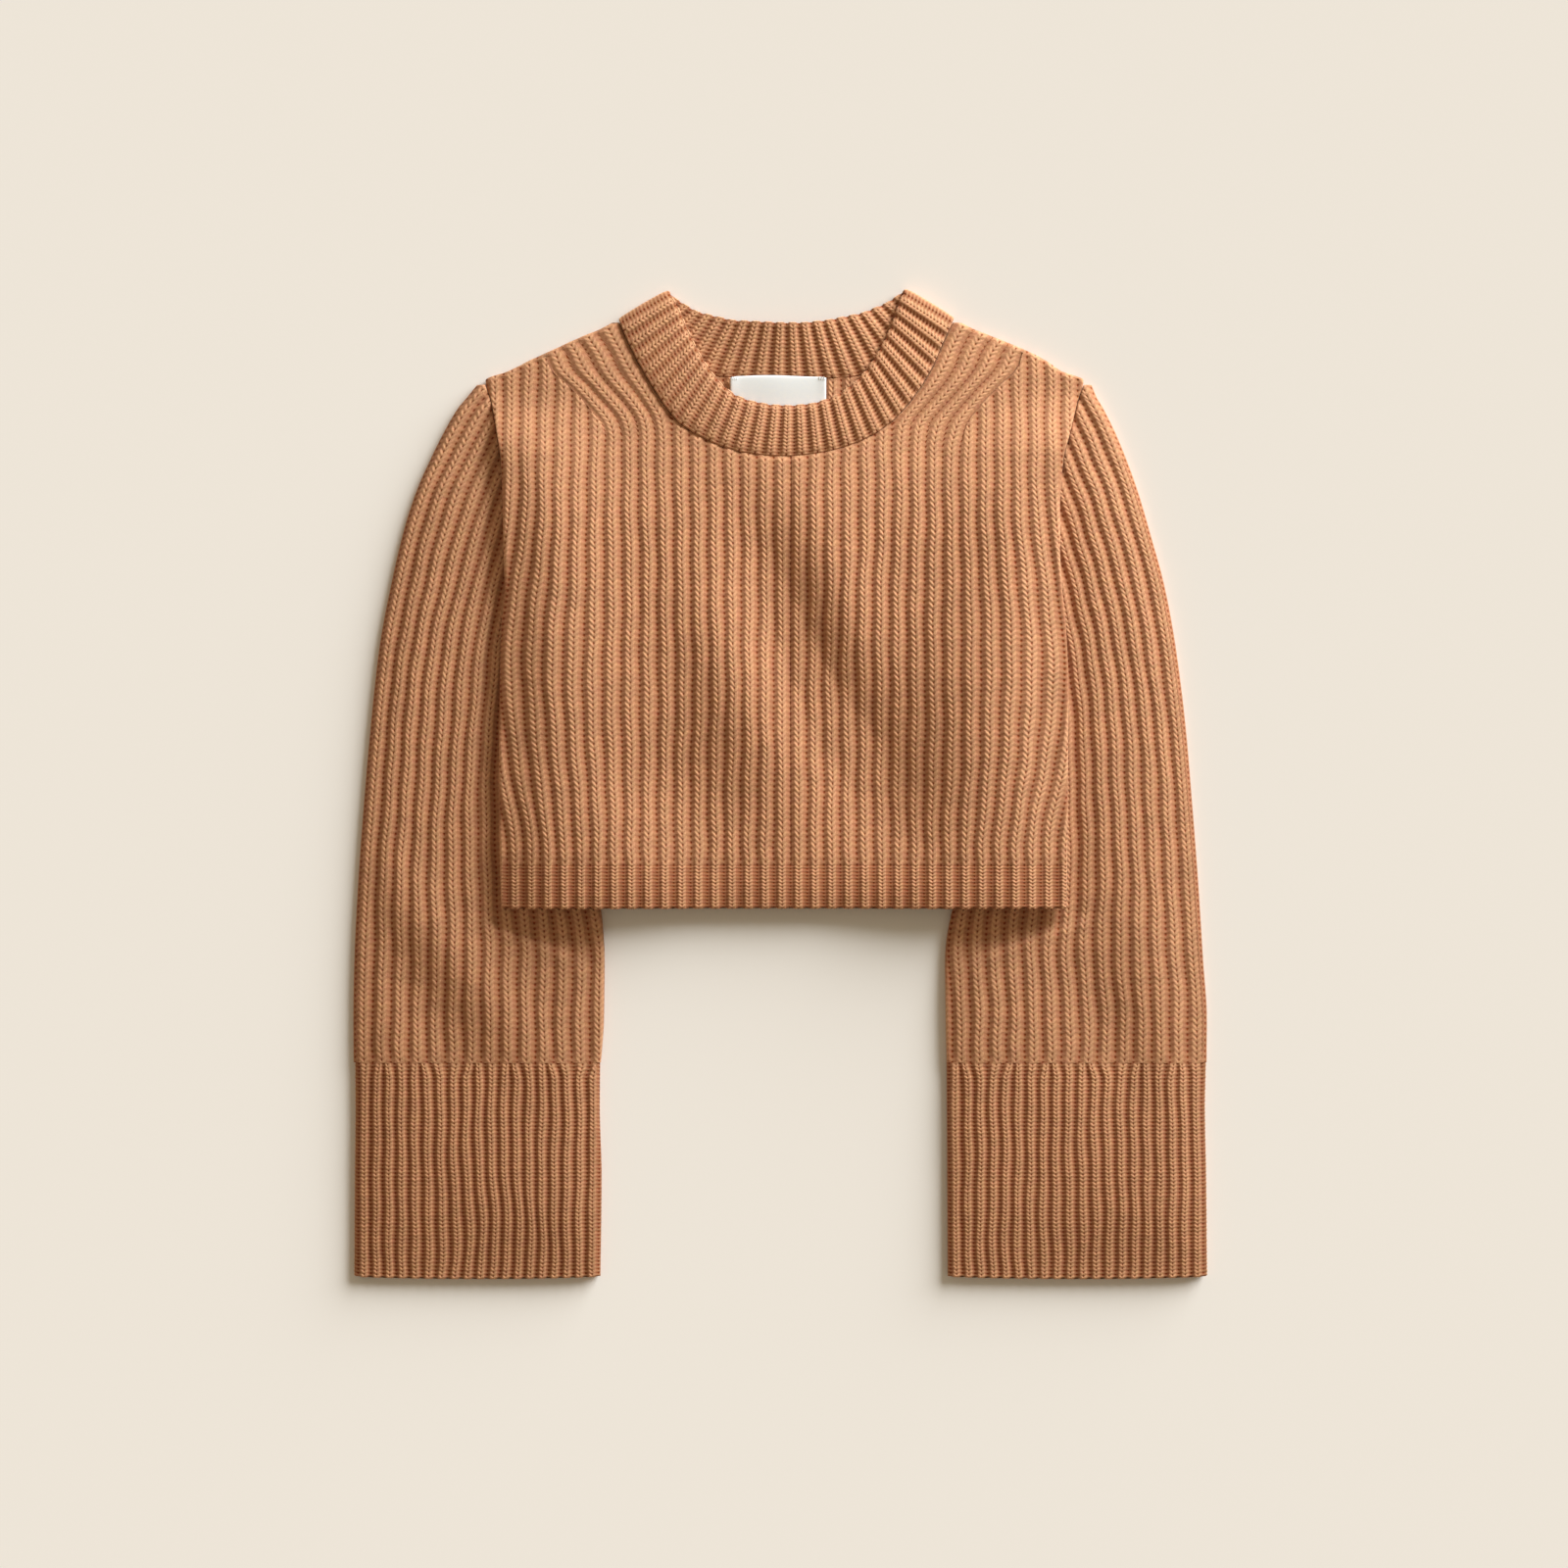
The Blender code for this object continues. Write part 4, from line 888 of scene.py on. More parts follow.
def build_back():
    """The back panel: a pair of grids for each half, closed round all edges but the centre line."""
    cloth = Cloth()
    lowest = BACK_NECK_LOW[1] - NECK_ROOM[1]
    rows = np.concatenate((np.linspace(HEM_SEAM + JOIN_GAP, lowest, 50),
                           np.linspace(lowest + 0.6, SHOULDER_TOP, 30)))[:, None]
    in_back_neck = rows > lowest + 0.01
    neck_row = int(np.argmax(in_back_neck)) - 1
    for side, sign in OUTWARD.items():
        near = np.where(in_back_neck, neck_x(BACK_NECK, side, rows), BACK_NECK_LOW[0])
        far = outline(side, rows)
        faces = []
        for face in ("back_in", "back_out"):
            share = read(CLOSING, "share", rows) if face == "back_in" else 0 * rows
            inset = share * CLOTH / edge_cosine(side, rows)
            inset = np.minimum(inset, WALL_SHARE * np.abs(far - near))
            x = half_width(near, far - sign * inset, 34)
            faces.append(cloth.grid(x, rows, body_z(face, x, rows), upright_wale(x, rows),
                                    (rows - HEM_SEAM) / BODY_KNIT["course"], 1.0))
        upper, lower = faces if side == "high" else [index[:, ::-1] for index in faces]
        cloth.surface(upper)
        cloth.surface(lower, up=False)
        cloth.zip(lower[0], upper[0])
        cloth.zip(upper[-1], lower[-1])

        # The side is closed over its whole length, and the inner edge only along the neck
        low, high = (0, neck_row) if side == "low" else (neck_row, 0)
        cloth.zip(upper[low:, 0], lower[low:, 0])
        cloth.zip(lower[high:, -1], upper[high:, -1])
    return cloth.mesh("back")


def build_hem_back():
    """The hem rib of the back."""
    cloth = Cloth()
    cloth.wall(plain_hem(cloth, "back_in", 90, CLOTH, -1), plain_hem(cloth, "back_out", 90, 0.0, 1))
    return cloth.mesh("hem_rib_back")


back = build_back()
hem_back = build_hem_back()

# %% [markdown]
# ## Sleeves and cuffs
# A sleeve is a tube laid flat: an upper layer, a fold along the arm's outer side, and a lower
# layer. So its grid runs from the underarm edge over the top, round the fold and back beneath.
# Only the top carries the stitches in its shape, in three rows to a course. At the cuff twenty
# ribs gather into fourteen, and the cuff's ribs bend towards the sleeve's, some of them in pairs.

# %% Sizes and helpers of the tubes
FOLD_AXIS = LAYERS / 2
ARC = np.linspace(0.0, np.pi, 11)[1:-1]
ARC_FADE = 2.6
TUCK_OVER = 40.0
BOW_OVER = 40.0
TUBE_CALM = 8.0
TUBE_CALM_TOP = 215.0
TUBE_CALM_SIDE = 6.0
TOP_FADE = 3.0
CUFF_KEEP = 0.3
CUFF_LEVEL = 0.6
GATHER = 11.0
PAIR = 2.7
# Where a hand smoothed the cuffs, the ribs drift sideways by a sum of bells
SWAYS = (
    (-214.0, -292.0, 30.0, 22.0, 0.0, 2.6), (-180.0, -300.0, 26.0, 20.0, 0.0, 1.8),
    (-250.0, -238.0, 30.0, 20.0, 0.0, -1.2), (160.0, -300.0, 26.0, 26.0, 0.0, -1.4),
    (236.0, -262.0, 40.0, 30.0, 0.0, 1.2), (190.0, -246.0, 34.0, 26.0, 0.0, -0.9),
)


def gathered(t):
    """Where the cuff's ribs meet the sleeve: each at its nearest rib, which some share in pairs."""
    ribs = (np.arange(-1, 22) + CUFF_PHASE) * CUFF_PITCH
    pitch = float(read(SLEEVE, "pitch", CUFF_SEAM))
    nearest = np.round(ribs / pitch - SLEEVE_PHASE)
    same = np.diff(nearest) == 0
    offset = np.concatenate(([0.0], same * PAIR)) - np.concatenate((same * PAIR, [0.0]))
    return np.interp(t, ribs, (nearest + SLEEVE_PHASE) * pitch + offset)


def join_relief(relief, distance, knit):
    """Relief that shrinks to the cuff's height beside their join, and loses most of its waves."""
    near = 1 - ease(distance / JOIN_SOFT)
    relief = relief * (1 + (CUFF_KNIT["height"] / knit["height"] - 1) * near)
    return relief + (CUFF_LEVEL * CUFF_KNIT["height"] - relief) * (1 - CUFF_KEEP) * near


print("a tube lies", LAYERS, "mm thick between its ribs, with its fold's axis at", FOLD_AXIS, "mm")

# %% [markdown]
# One function builds both, since a cuff is a tube like a sleeve, with a bound edge. The top, the
# fold and the side beneath each give their own X, Y and Z, and are then set side by side.

# %% Build the tubes


def build_tube(side, bound):
    """A sleeve, or a cuff if the lower edge is bound off."""
    away = -OUTWARD[side]
    if bound:
        table, knit, phase, name = CUFF, CUFF_KNIT, CUFF_PHASE, "cuff_rib_"
        start, end = CUFF_EDGE, CUFF_SEAM - JOIN_GAP
    else:
        table, knit, phase, name = SLEEVE, BODY_KNIT, SLEEVE_PHASE, "sleeve_tube_"
        start, end = CUFF_SEAM, SLEEVE_TOP
    step = knit["course"] / 3

    def across(y):
        """X of the fold, the width, the pitch and the closing share, at the height y."""
        fold = read(table, side + "_outer", y)
        edge = read(table, side + "_inner", y) if bound else sleeve_x(side + "_inner", y)
        return fold, np.abs(edge - fold), read(table, "pitch", y), ease((TUCK - y) / TUCK_OVER)

    def place(t, y, fold, width):
        """X and Y of a point at the distance t from the fold. The bound edge bows a little."""
        bow = CUFF_BOW * ease((CUFF_EDGE + BOW_OVER - y) / BOW_OVER)
        return fold + away * t, y + bow * (2 * t / width - 1) ** 2

    def arc(radius, y, fold, width):
        """X, Y and Z of points round the fold, at a radius from its axis."""
        turned = place(FOLD_AXIS - radius * np.sin(ARC), y, fold, width)
        return (*turned, LAYERS / 2 + radius * np.cos(ARC))

    def strip(width):
        """Width of the rounding at the underarm edge."""
        return np.minimum(STRIP, width - FOLD_AXIS - 0.3)

    # The top, whose rows lean with the V's where they are calm
    if bound:
        rows = trim_rows(start, end, step)[:, None]
    else:
        rows = np.concatenate(([start, start + JOIN_ROW], np.arange(start + step, end - 0.4, step),
                               [end]))[:, None]
    fold, width, pitch, share = across(rows)
    number = wales(-0.4, float(np.max(width / pitch)), knit)[::-1][None, :]
    t = (number + phase) * pitch
    calm = ease((rows - start - (1.5 if bound else 0.0)) / TUBE_CALM)
    calm = calm * ease((min(end, TUBE_CALM_TOP) - rows) / TUBE_CALM)
    shear = calm * knit["course"] * lean(number, knit)
    y_top = rows + shear * ease((width - strip(width) - t) / TUBE_CALM_SIDE)
    fold_top, width_top, pitch_top = across(y_top)[:3]
    t = (number + phase) * pitch_top
    if bound:
        t = t + (gathered(t) - t) * ease((y_top - end + GATHER) / GATHER)
        t = t + away * bells(SWAYS, fold_top + away * t, y_top)
    free = t
    t = np.clip(t, FOLD_AXIS, width_top - strip(width_top))
    wale = np.where(t == free, number, t / pitch_top - phase)
    if bound:
        y_top = y_top - scallop(wale, rows - start)

    # With the rounded strip at the underarm before it
    t_edge = width - strip(width) * EDGE_SHARES
    t, y = beside(t_edge, t), beside(rows + 0 * t_edge, y_top)
    wale = beside(t_edge / pitch - phase, wale)
    fold_top, width_top, pitch_top, share_top = across(y)
    seam = end if bound else start
    course, course_rows = (y - seam) / knit["course"], (rows - seam) / knit["course"]
    drop = rounding(rows - start, BOUND) if bound else 0 * rows
    fade = 0 * rows + 1 if bound else 0.5 + 0.5 * ease((end - rows) / TOP_FADE)
    x, y_bowed = place(t, y, fold_top, width_top)
    border = np.minimum.reduce((t - FOLD_AXIS, width_top - t, y - start, end - y))
    x = x + drift(x, y) * ease((border - DRIFT_FROM) / DRIFT_OVER)
    relief = join_relief(stitch_height(wale, course, knit), np.abs(rows - seam), knit)
    z = (layer_z("front_out", width_top - t, share_top) + sleeve_slack(side, x, y)
         + relief * fade - drop)
    top = (x, y_bowed, z, wale, course, 0 * t)

    # The fold, where the stitches fade out, and the plain side beneath
    wale_arc = (FOLD_AXIS - FOLD_AXIS * ARC[None, :]) / pitch - phase
    turn = 1 - ease(ARC[None, :] / ARC_FADE)
    radius = FOLD_AXIS + stitch_height(wale_arc, course_rows, knit) * fade * turn - drop
    none = 0 * radius
    round_fold = (*arc(radius, rows, fold, width), wale_arc, course_rows + none, 1 - turn + none)
    t_low = half_width(FOLD_AXIS + 0 * rows, width, 12)
    wale_low = (FOLD_AXIS - np.pi * FOLD_AXIS - (t_low - FOLD_AXIS)) / pitch - phase
    beneath = (*place(t_low, rows, fold, width), layer_z("back_out", width - t_low, share) + drop,
               wale_low, course_rows + 0 * t_low, 0 * t_low + 1)
    cloth = Cloth()
    outer = cloth.grid(*map(beside, top, round_fold, beneath))

    # The inner face
    rows = np.linspace(start, end, 50)
    if bound:
        rows = np.concatenate((start + BOUND_STEPS, rows[rows > start + 1.3]))
    rows = rows[:, None]
    fold, width, pitch, share = across(rows)
    drop = rounding(rows - start, BOUND) if bound else 0 * rows
    limit = width - np.minimum(share * CLOTH, WALL_SHARE * width)
    t = FOLD_AXIS + np.maximum(limit - FOLD_AXIS, 0.2) * np.linspace(1.0, 0.0, 18)[None, :]
    t_low = t[:, ::-1]
    x, y = place(t, rows, fold, width)
    z = layer_z("front_in", width - t, share) + sleeve_slack(side, x, rows) + drop
    round_fold = arc(LAYER_AIR / 2 + drop, rows, fold, width)
    beneath = (*place(t_low, rows, fold, width), layer_z("back_in", width - t_low, share) - drop)
    wale = beside(t, 0 * round_fold[2] + FOLD_AXIS, -t_low) / pitch - phase
    inner = cloth.grid(*map(beside, (x, y, z), round_fold, beneath), wale,
                       (rows - start) / knit["course"], 1.0)
    cloth.wall(outer, inner, ("last",) if bound else ("first",))
    return cloth.mesh(name + WEARER[side])


sleeve_right, sleeve_left = (build_tube(side, bound=False) for side in OUTWARD)
cuff_right, cuff_left = (build_tube(side, bound=True) for side in OUTWARD)

# %% [markdown]
# ## The neckband
# The band is a ring of rib, linked to the neck and folded flat where it goes from front to
# back. Its surface has two parameters: one runs round the neck, the other round the band's
# own section, over the outer face, the free edge, the inner face and the seam.

# %% Sizes of the neckband
BAND_RIBS_FRONT = 29
BAND_RIBS_BACK = 20
BAND_FRONT_Z = (6.4, 7.2)
BAND_BACK_Z = (1.2, 1.6)
BAND_BACK_RISE = 6.5
BAND_AT_FOLD = 0.3
BAND_FADE = 8.0
BAND_WIDTH = 34.0
BAND_ACROSS = 44
BAND_COURSE = 2.35
# Its last two numbers are painted shade of the finish, as in the other knit tables
BAND_KNIT = {"course": BAND_COURSE, "height": 1.25, "crest": 0.25, "shoulder": 0.18, "foot": 0.40,
             "rise": 0.5, "strand": 0.22, "purl": 0.20, "ground": 0.18, "hatch": 0.40}
BAND_CALM = 0.12
BAND_REACH = 0.2
BAND_CROWN = 0.9
BAND_RIM = 5.0
BAND_RIM_DROP = 0.45
BAND_RIM_LEVEL = 0.75
BAND_AT_SEAM = 0.4
BAND_SEAM_OVER = 4.0


def along_curve(curve, share, trim):
    """X and Y at shares of a curve's length, once a length has been taken off at both ends."""
    points = np.array(curve)
    length = np.concatenate(([0.0], np.cumsum(np.linalg.norm(np.diff(points, axis=0), axis=1))))
    at = trim + (length[-1] - 2 * trim) * share
    return np.stack([np.interp(at, length, points[:, k]) for k in (0, 1)], axis=-1)


def band_heights(across):
    """Height of the front wall's middle and the back's, and the radius of the fold between.

    The front rises from the seam in a slight crown, and rounds down again to its free edge.
    """
    front = (BAND_FRONT_Z[0] + (BAND_FRONT_Z[1] - BAND_FRONT_Z[0]) * across
             + BAND_CROWN * (1 - (2 * across - 1) ** 2)
             - BAND_RIM_DROP * rounding((1 - across) * BAND_WIDTH, BAND_RIM))
    back = BAND_BACK_Z[0] + (BAND_BACK_Z[1] - BAND_BACK_Z[0]) * across
    return front, back, (front - back) / 2


BAND_TRIMS = [CLOTH / 2 + float(band_heights(end)[2]) for end in (0.0, 1.0)]


def band_grid(wale):
    """Place across the band, from 0 at the seam to 1 at the free edge. Rows lean with the V's."""
    ends = BOUND / BAND_WIDTH
    even = np.linspace(ends, 1 - ends, BAND_ACROSS)[None, :]
    calm = ease((even - ends) / BAND_CALM) * ease((1 - ends - even) / BAND_CALM)
    edge = rib_reach(wale)[:, None] * ease((even - 0.8) / BAND_REACH)
    return even + (calm * lean(wale, BAND_KNIT)[:, None] * BAND_COURSE + edge) / BAND_WIDTH


print("the band's walls start", [round(trim, 2) for trim in BAND_TRIMS], "mm from its side folds")

# %% [markdown]
# Four walls make the ring: a front half, a back half and two folds. For its sections round the
# neck each wall gives its middle, its normal, the wale, how strong the ribs are, and how far the
# section faces up, from 0 to 1.

# %% Walls of the neckband


def band_half(front, number, wale):
    """The front or back half: straight lines from the seam to the edge."""
    seam, edge = (FRONT_NECK, BAND_FRONT_EDGE) if front else (BACK_NECK, BAND_BACK_EDGE)
    count = BAND_RIBS_FRONT if front else BAND_RIBS_BACK
    across = band_grid(wale)
    low = along_curve(seam, number / count, BAND_TRIMS[0])[:, None, :]
    high = along_curve(edge, number / count, BAND_TRIMS[1])[:, None, :]
    flat = low + (high - low) * across[..., None]
    height = band_heights(across)[0 if front else 1]
    if not front:
        height = height + BAND_BACK_RISE * across * np.sin(np.pi * number / count)[:, None] ** 2
    middle = np.concatenate((flat, height[..., None]), axis=-1)
    normal = np.zeros_like(middle)
    normal[..., 2] = 1.0 if front else -1.0
    length = float(np.linalg.norm(np.diff(np.array(seam), axis=0), axis=1).sum())
    from_fold = np.minimum(number, count - number) / count * length
    strength = BAND_AT_FOLD + (1 - BAND_AT_FOLD) * ease(from_fold / BAND_FADE)
    return middle, normal, wale, strength, 1.0 if front else 0.0


def band_turn(end, angles, wale):
    """The same round one side fold. end is 0 for the low side and 1 for the high one."""
    across = band_grid(wale)[..., None]
    front, back, radius = band_heights(across)
    fold = np.array(FRONT_NECK[-end]) * (1 - across) + np.array(BAND_FRONT_EDGE[-end]) * across
    axes = [along_curve(seam, float(end), BAND_TRIMS[0]) * (1 - across)
            + along_curve(edge, float(end), BAND_TRIMS[1]) * across
            for seam, edge in ((FRONT_NECK, BAND_FRONT_EDGE), (BACK_NECK, BAND_BACK_EDGE))]
    angle = np.radians(angles)[:, None, None]
    turned = (1 - np.cos(angle)) / 2
    axis = axes[0] * (1 - turned) + axes[1] * turned
    out = fold - axis
    out = out / np.linalg.norm(out, axis=-1, keepdims=True)
    normal = np.concatenate((out * np.sin(angle), np.cos(angle) + 0 * across), axis=-1)
    middle = np.concatenate((axis, (front + back) / 2 + 0 * angle), axis=-1) + normal * radius
    return middle, normal, wale, 0 * angles + BAND_AT_FOLD, (1 + np.cos(np.radians(angles))) / 2


print("ribs round the neck:", BAND_RIBS_FRONT, "in front and", BAND_RIBS_BACK, "at the back")

# %% [markdown]
# The walls follow each other round the neck. The ribs grow from the middle of the wall along its
# normal, and two half circles close it at the free edge and the seam. A tube along a curve would
# be simpler, but it would be round, and a real band folds flat.

# %% Build the neckband


def build_band():
    """The ring: front half, high fold, back half, low fold, and the first section once more."""
    number = wales(-0.5, BAND_RIBS_FRONT - 0.5, BAND_KNIT)
    angles = np.arange(15.0, 180.0, 15.0)
    share = angles / 180.0
    back_number = wales(-0.5, BAND_RIBS_BACK - 0.5, BAND_KNIT)[::-1]
    first_back = BAND_RIBS_FRONT + 0.5
    last = first_back + BAND_RIBS_BACK
    parts = [
        band_half(True, number + 0.5, number),
        band_turn(1, angles, BAND_RIBS_FRONT - 0.5 + share),
        band_half(False, back_number + 0.5, last - 0.5 - back_number),
        band_turn(0, angles[::-1], last + share),
        band_half(True, np.array([0.0]), np.array([last + 1.0])),
    ]
    middle, normal, wale, strength = (np.concatenate([part[k] for part in parts]) for k in range(4))
    outward = np.concatenate([part[4] + 0 * part[2] for part in parts])[:, None]
    course = band_grid(wale) * BAND_WIDTH / BAND_COURSE
    height = stitch_height(wale[:, None], course, BAND_KNIT)
    rim_near = ease((course * BAND_COURSE - BAND_WIDTH + BAND_RIM) / BAND_RIM)
    level = BAND_RIM_LEVEL * BAND_KNIT["height"]
    height = (height + (level - height) * BAND_RIM_LEVEL * rim_near) * strength[:, None]
    from_seam = ease(course * BAND_COURSE / BAND_SEAM_OVER)
    height = height * (BAND_AT_SEAM + (1 - BAND_AT_SEAM) * from_seam)
    tangent = middle[:, -1:] - middle[:, :1]
    tangent = tangent / np.linalg.norm(tangent, axis=-1, keepdims=True)
    turn = np.radians(np.arange(22.5, 170.0, 22.5))

    def face(side):
        """Points of one face: half the wall's thickness and the ribs that show there."""
        shown = outward if side > 0 else 1 - outward
        return middle + side * normal * (CLOTH / 2 + height * shown)[..., None]

    def rim(column, way):
        """Points round the free edge (way 1) or the seam (way -1)."""
        shown = height[:, column][:, None] * (outward * (1 + way * np.cos(turn))
                                              + (1 - outward) * (1 - way * np.cos(turn))) / 2
        reach = (BOUND + shown)[..., None]
        out = way * np.cos(turn)[None, :, None] * normal[:, column][:, None, :] * reach
        across = way * np.sin(turn)[None, :, None] * tangent * BOUND
        return middle[:, column][:, None, :] + out + across

    around = beside(face(1), rim(-1, 1), face(-1)[:, ::-1], rim(0, -1), face(1)[:, :1])
    first, none = course[:, :1], 0 * course
    rim_none = 0 * first * np.ones((1, len(turn)))
    number_across = beside(course, course[:, -1:] + rim_none, course[:, ::-1],
                           first + rim_none, first)
    hidden = beside(1 - outward + none, 0.5 + rim_none, outward + none, 0.5 + rim_none, 1 - outward)
    cloth = Cloth()
    cloth.surface(cloth.grid(*np.moveaxis(around, -1, 0), wale[:, None], number_across, hidden))
    return cloth.mesh("neckband_rib")


neckband = build_band()

# %% [markdown]
# ## The label
# A satin-woven label is a soft slip of polyester, half a millimetre thick where its ends are
# folded under. It is sewn to the back's neck seam, so its top edge lies on the band's first
# stitches. It stays blank.

# %% Build the label and its stitches
LABEL_X = (-33.2, 30.6)
LABEL_Y = (233.0, 271.0)
LABEL_THICK = 0.5
LABEL_AIR = 0.25
LABEL_CLIMB = 1.25
LABEL_WAVE = 0.25
LABEL_CURL = 0.35
STITCHES = 4
STITCH_PITCH = 1.1
STITCH_LONG = (0.35, 1.3)
STITCH_THICK = (0.28, 0.26)


def label_top(x, y):
    """Height of the label's face: it lies on the back and climbs over the neck seam."""
    climb = LABEL_CLIMB * ease((y - 246.0) / 24.0)
    wave = LABEL_WAVE * np.sin((x + 20.0) / 9.0) * ease((y - 240.0) / 30.0)
    corner = ease((np.abs(x - np.mean(LABEL_X)) - 24.0) / 8.0)
    corner = LABEL_CURL * corner * ease((y - 255.0) / 14.0)
    return CLOTH + SEAM_GAP + LABEL_THICK + climb + wave + LABEL_AIR + corner


def build_label():
    """The slip: a rounded rectangle in X and Y, with its edges turned down."""
    u, v = np.meshgrid(np.linspace(0.0, 1.0, 60), np.linspace(0.0, 1.0, 36))
    x = LABEL_X[0] + (LABEL_X[1] - LABEL_X[0]) * u
    y = LABEL_Y[0] + (LABEL_Y[1] - LABEL_Y[0]) * v
    y = y + v * (0.5 * np.cos((x + 8.0) / 11.0) - 0.9 * ease((np.abs(x + 1.3) - 27.0) / 6.0))
    edge = np.minimum(np.minimum(x - LABEL_X[0], LABEL_X[1] - x), LABEL_Y[1] - y)
    drop = rounding(np.maximum(edge, 0.0) * 0.5, LABEL_THICK / 2)
    z = label_top(x, y)
    cloth = Cloth()
    upper = cloth.grid(x, y, z - drop, x, y, 0.0)
    lower = cloth.grid(x, y, z - LABEL_THICK + drop * 0.8, x, y, 0.0)
    cloth.wall(upper, lower)
    return cloth.mesh("woven_label")


def build_stitches():
    """Short slanted stitches that hold the label's top corners, each a long thin ball."""
    turn, along = np.meshgrid(np.linspace(0.0, 2 * np.pi, 9), np.linspace(0.0, np.pi, 9))
    cloth = Cloth()
    for corner in LABEL_X:
        inward = 1 if corner < 0 else -1
        for count in range(STITCHES):
            cx = corner + inward * (1.2 + STITCH_PITCH * count)
            x = (cx + STITCH_THICK[0] * np.sin(along) * np.cos(turn)
                 + STITCH_LONG[0] * inward * np.cos(along))
            y = LABEL_Y[1] - 1.6 + STITCH_LONG[1] * np.cos(along)
            z = (label_top(np.array(cx), np.array(269.0)) + 0.1
                 + STITCH_THICK[1] * np.sin(along) * np.sin(turn))
            cloth.surface(cloth.grid(x, y, z, x, y, 0.0))
    return cloth.mesh("label_stitches")


label = build_label()
stitches = build_stitches()

# %% [markdown]
# ## Finishes
# Cashmere is combed goat's down, spun soft and dyed in the fibre, so a yarn holds lighter and
# darker hairs, and a faint fuzz catches the light at the edges. Its finish takes the wale and
# course numbers of each point, so the painted light and shade of the V's lie exactly on the V's
# of the shape. Shade is painted between the legs, in the valleys and in the holes, where little
# light gets in, and each strand is painted lighter on top and darker where it dips. Tufts of hair
# also differ a little in hue. Towards the shoulders, where the knitting is loose, the valleys'
# painted shade is lighter.

# %% Colour and node helpers


def linear(code):
    """Scene-linear colour of an sRGB hex code: each channel by the sRGB curve."""
    values = np.array([int(code[k:k + 2], 16) / 255 for k in (1, 3, 5)])
    curve = np.where(values <= 0.04045, values / 12.92, ((values + 0.055) / 1.055) ** 2.4)
    return (*map(float, curve), 1.0)


def add(tree, kind, inputs, output=0, **settings):
    """Add a node, set its settings, set or link its inputs, and give one of its outputs."""
    node = tree.nodes.new(kind)
    for name, value in settings.items():
        setattr(node, name, value)
    for name, value in inputs.items():
        if isinstance(value, bpy.types.NodeSocket):
            tree.links.new(value, node.inputs[name])
        else:
            node.inputs[name].default_value = value
    return node if output is None else node.outputs[output]


def new_material(name):
    """An empty node material and its tree."""
    material = bpy.data.materials.new(name)
    material.use_nodes = True
    material.node_tree.nodes.clear()
    return material, material.node_tree


# The yarn's own colour, and the deep colour that paints shade into its valleys and holes
YARN_LIGHT = "#DFA982"
YARN_PAINTED_SHADE = "#873D13"
print("yarn, scene-linear:", [round(value, 3) for value in linear(YARN_LIGHT)[:3]])

# %% [markdown]
# One function makes the finish of each kind of knitting, from the same table as its shape. An
# image texture would repeat, and it couldn't follow the ribs where they turn.

# %% The knit's finish
FIBRE = 0.9
TUFT = 3.5
CLOUD = 22.0
HUE_SHIFT = 0.006
# Painted light and shade: a leg's share of light yarn and its swing along the strand, the rib's
# painted light, the valleys' lighter shade on the loose shoulders, and the painted shade in holes
LEG_PAINTED_LIGHT_AND_SHADE = (0.74, 0.26)
FLANK_PAINTED_LIGHT = 0.10
LOOSE_PAINTED_LIGHT = 0.08
HOLE_PAINTED_SHADE = 0.70
HOLE_WIDE = 0.085
OWN_VALUE = 0.14
HAIR_VALUE = 0.44
CLOUD_VALUE = 0.16
STRAND_BUMP = 0.14
HOLE_BUMP = -0.35
HAIR_BUMP = 0.30


def noise(tree, where, size, detail):
    """Soft noise with grains of a size in millimetres."""
    return add(tree, "ShaderNodeTexNoise", {"Vector": where, "Scale": 1 / (size * MM),
                                            "Detail": detail}, "Fac")


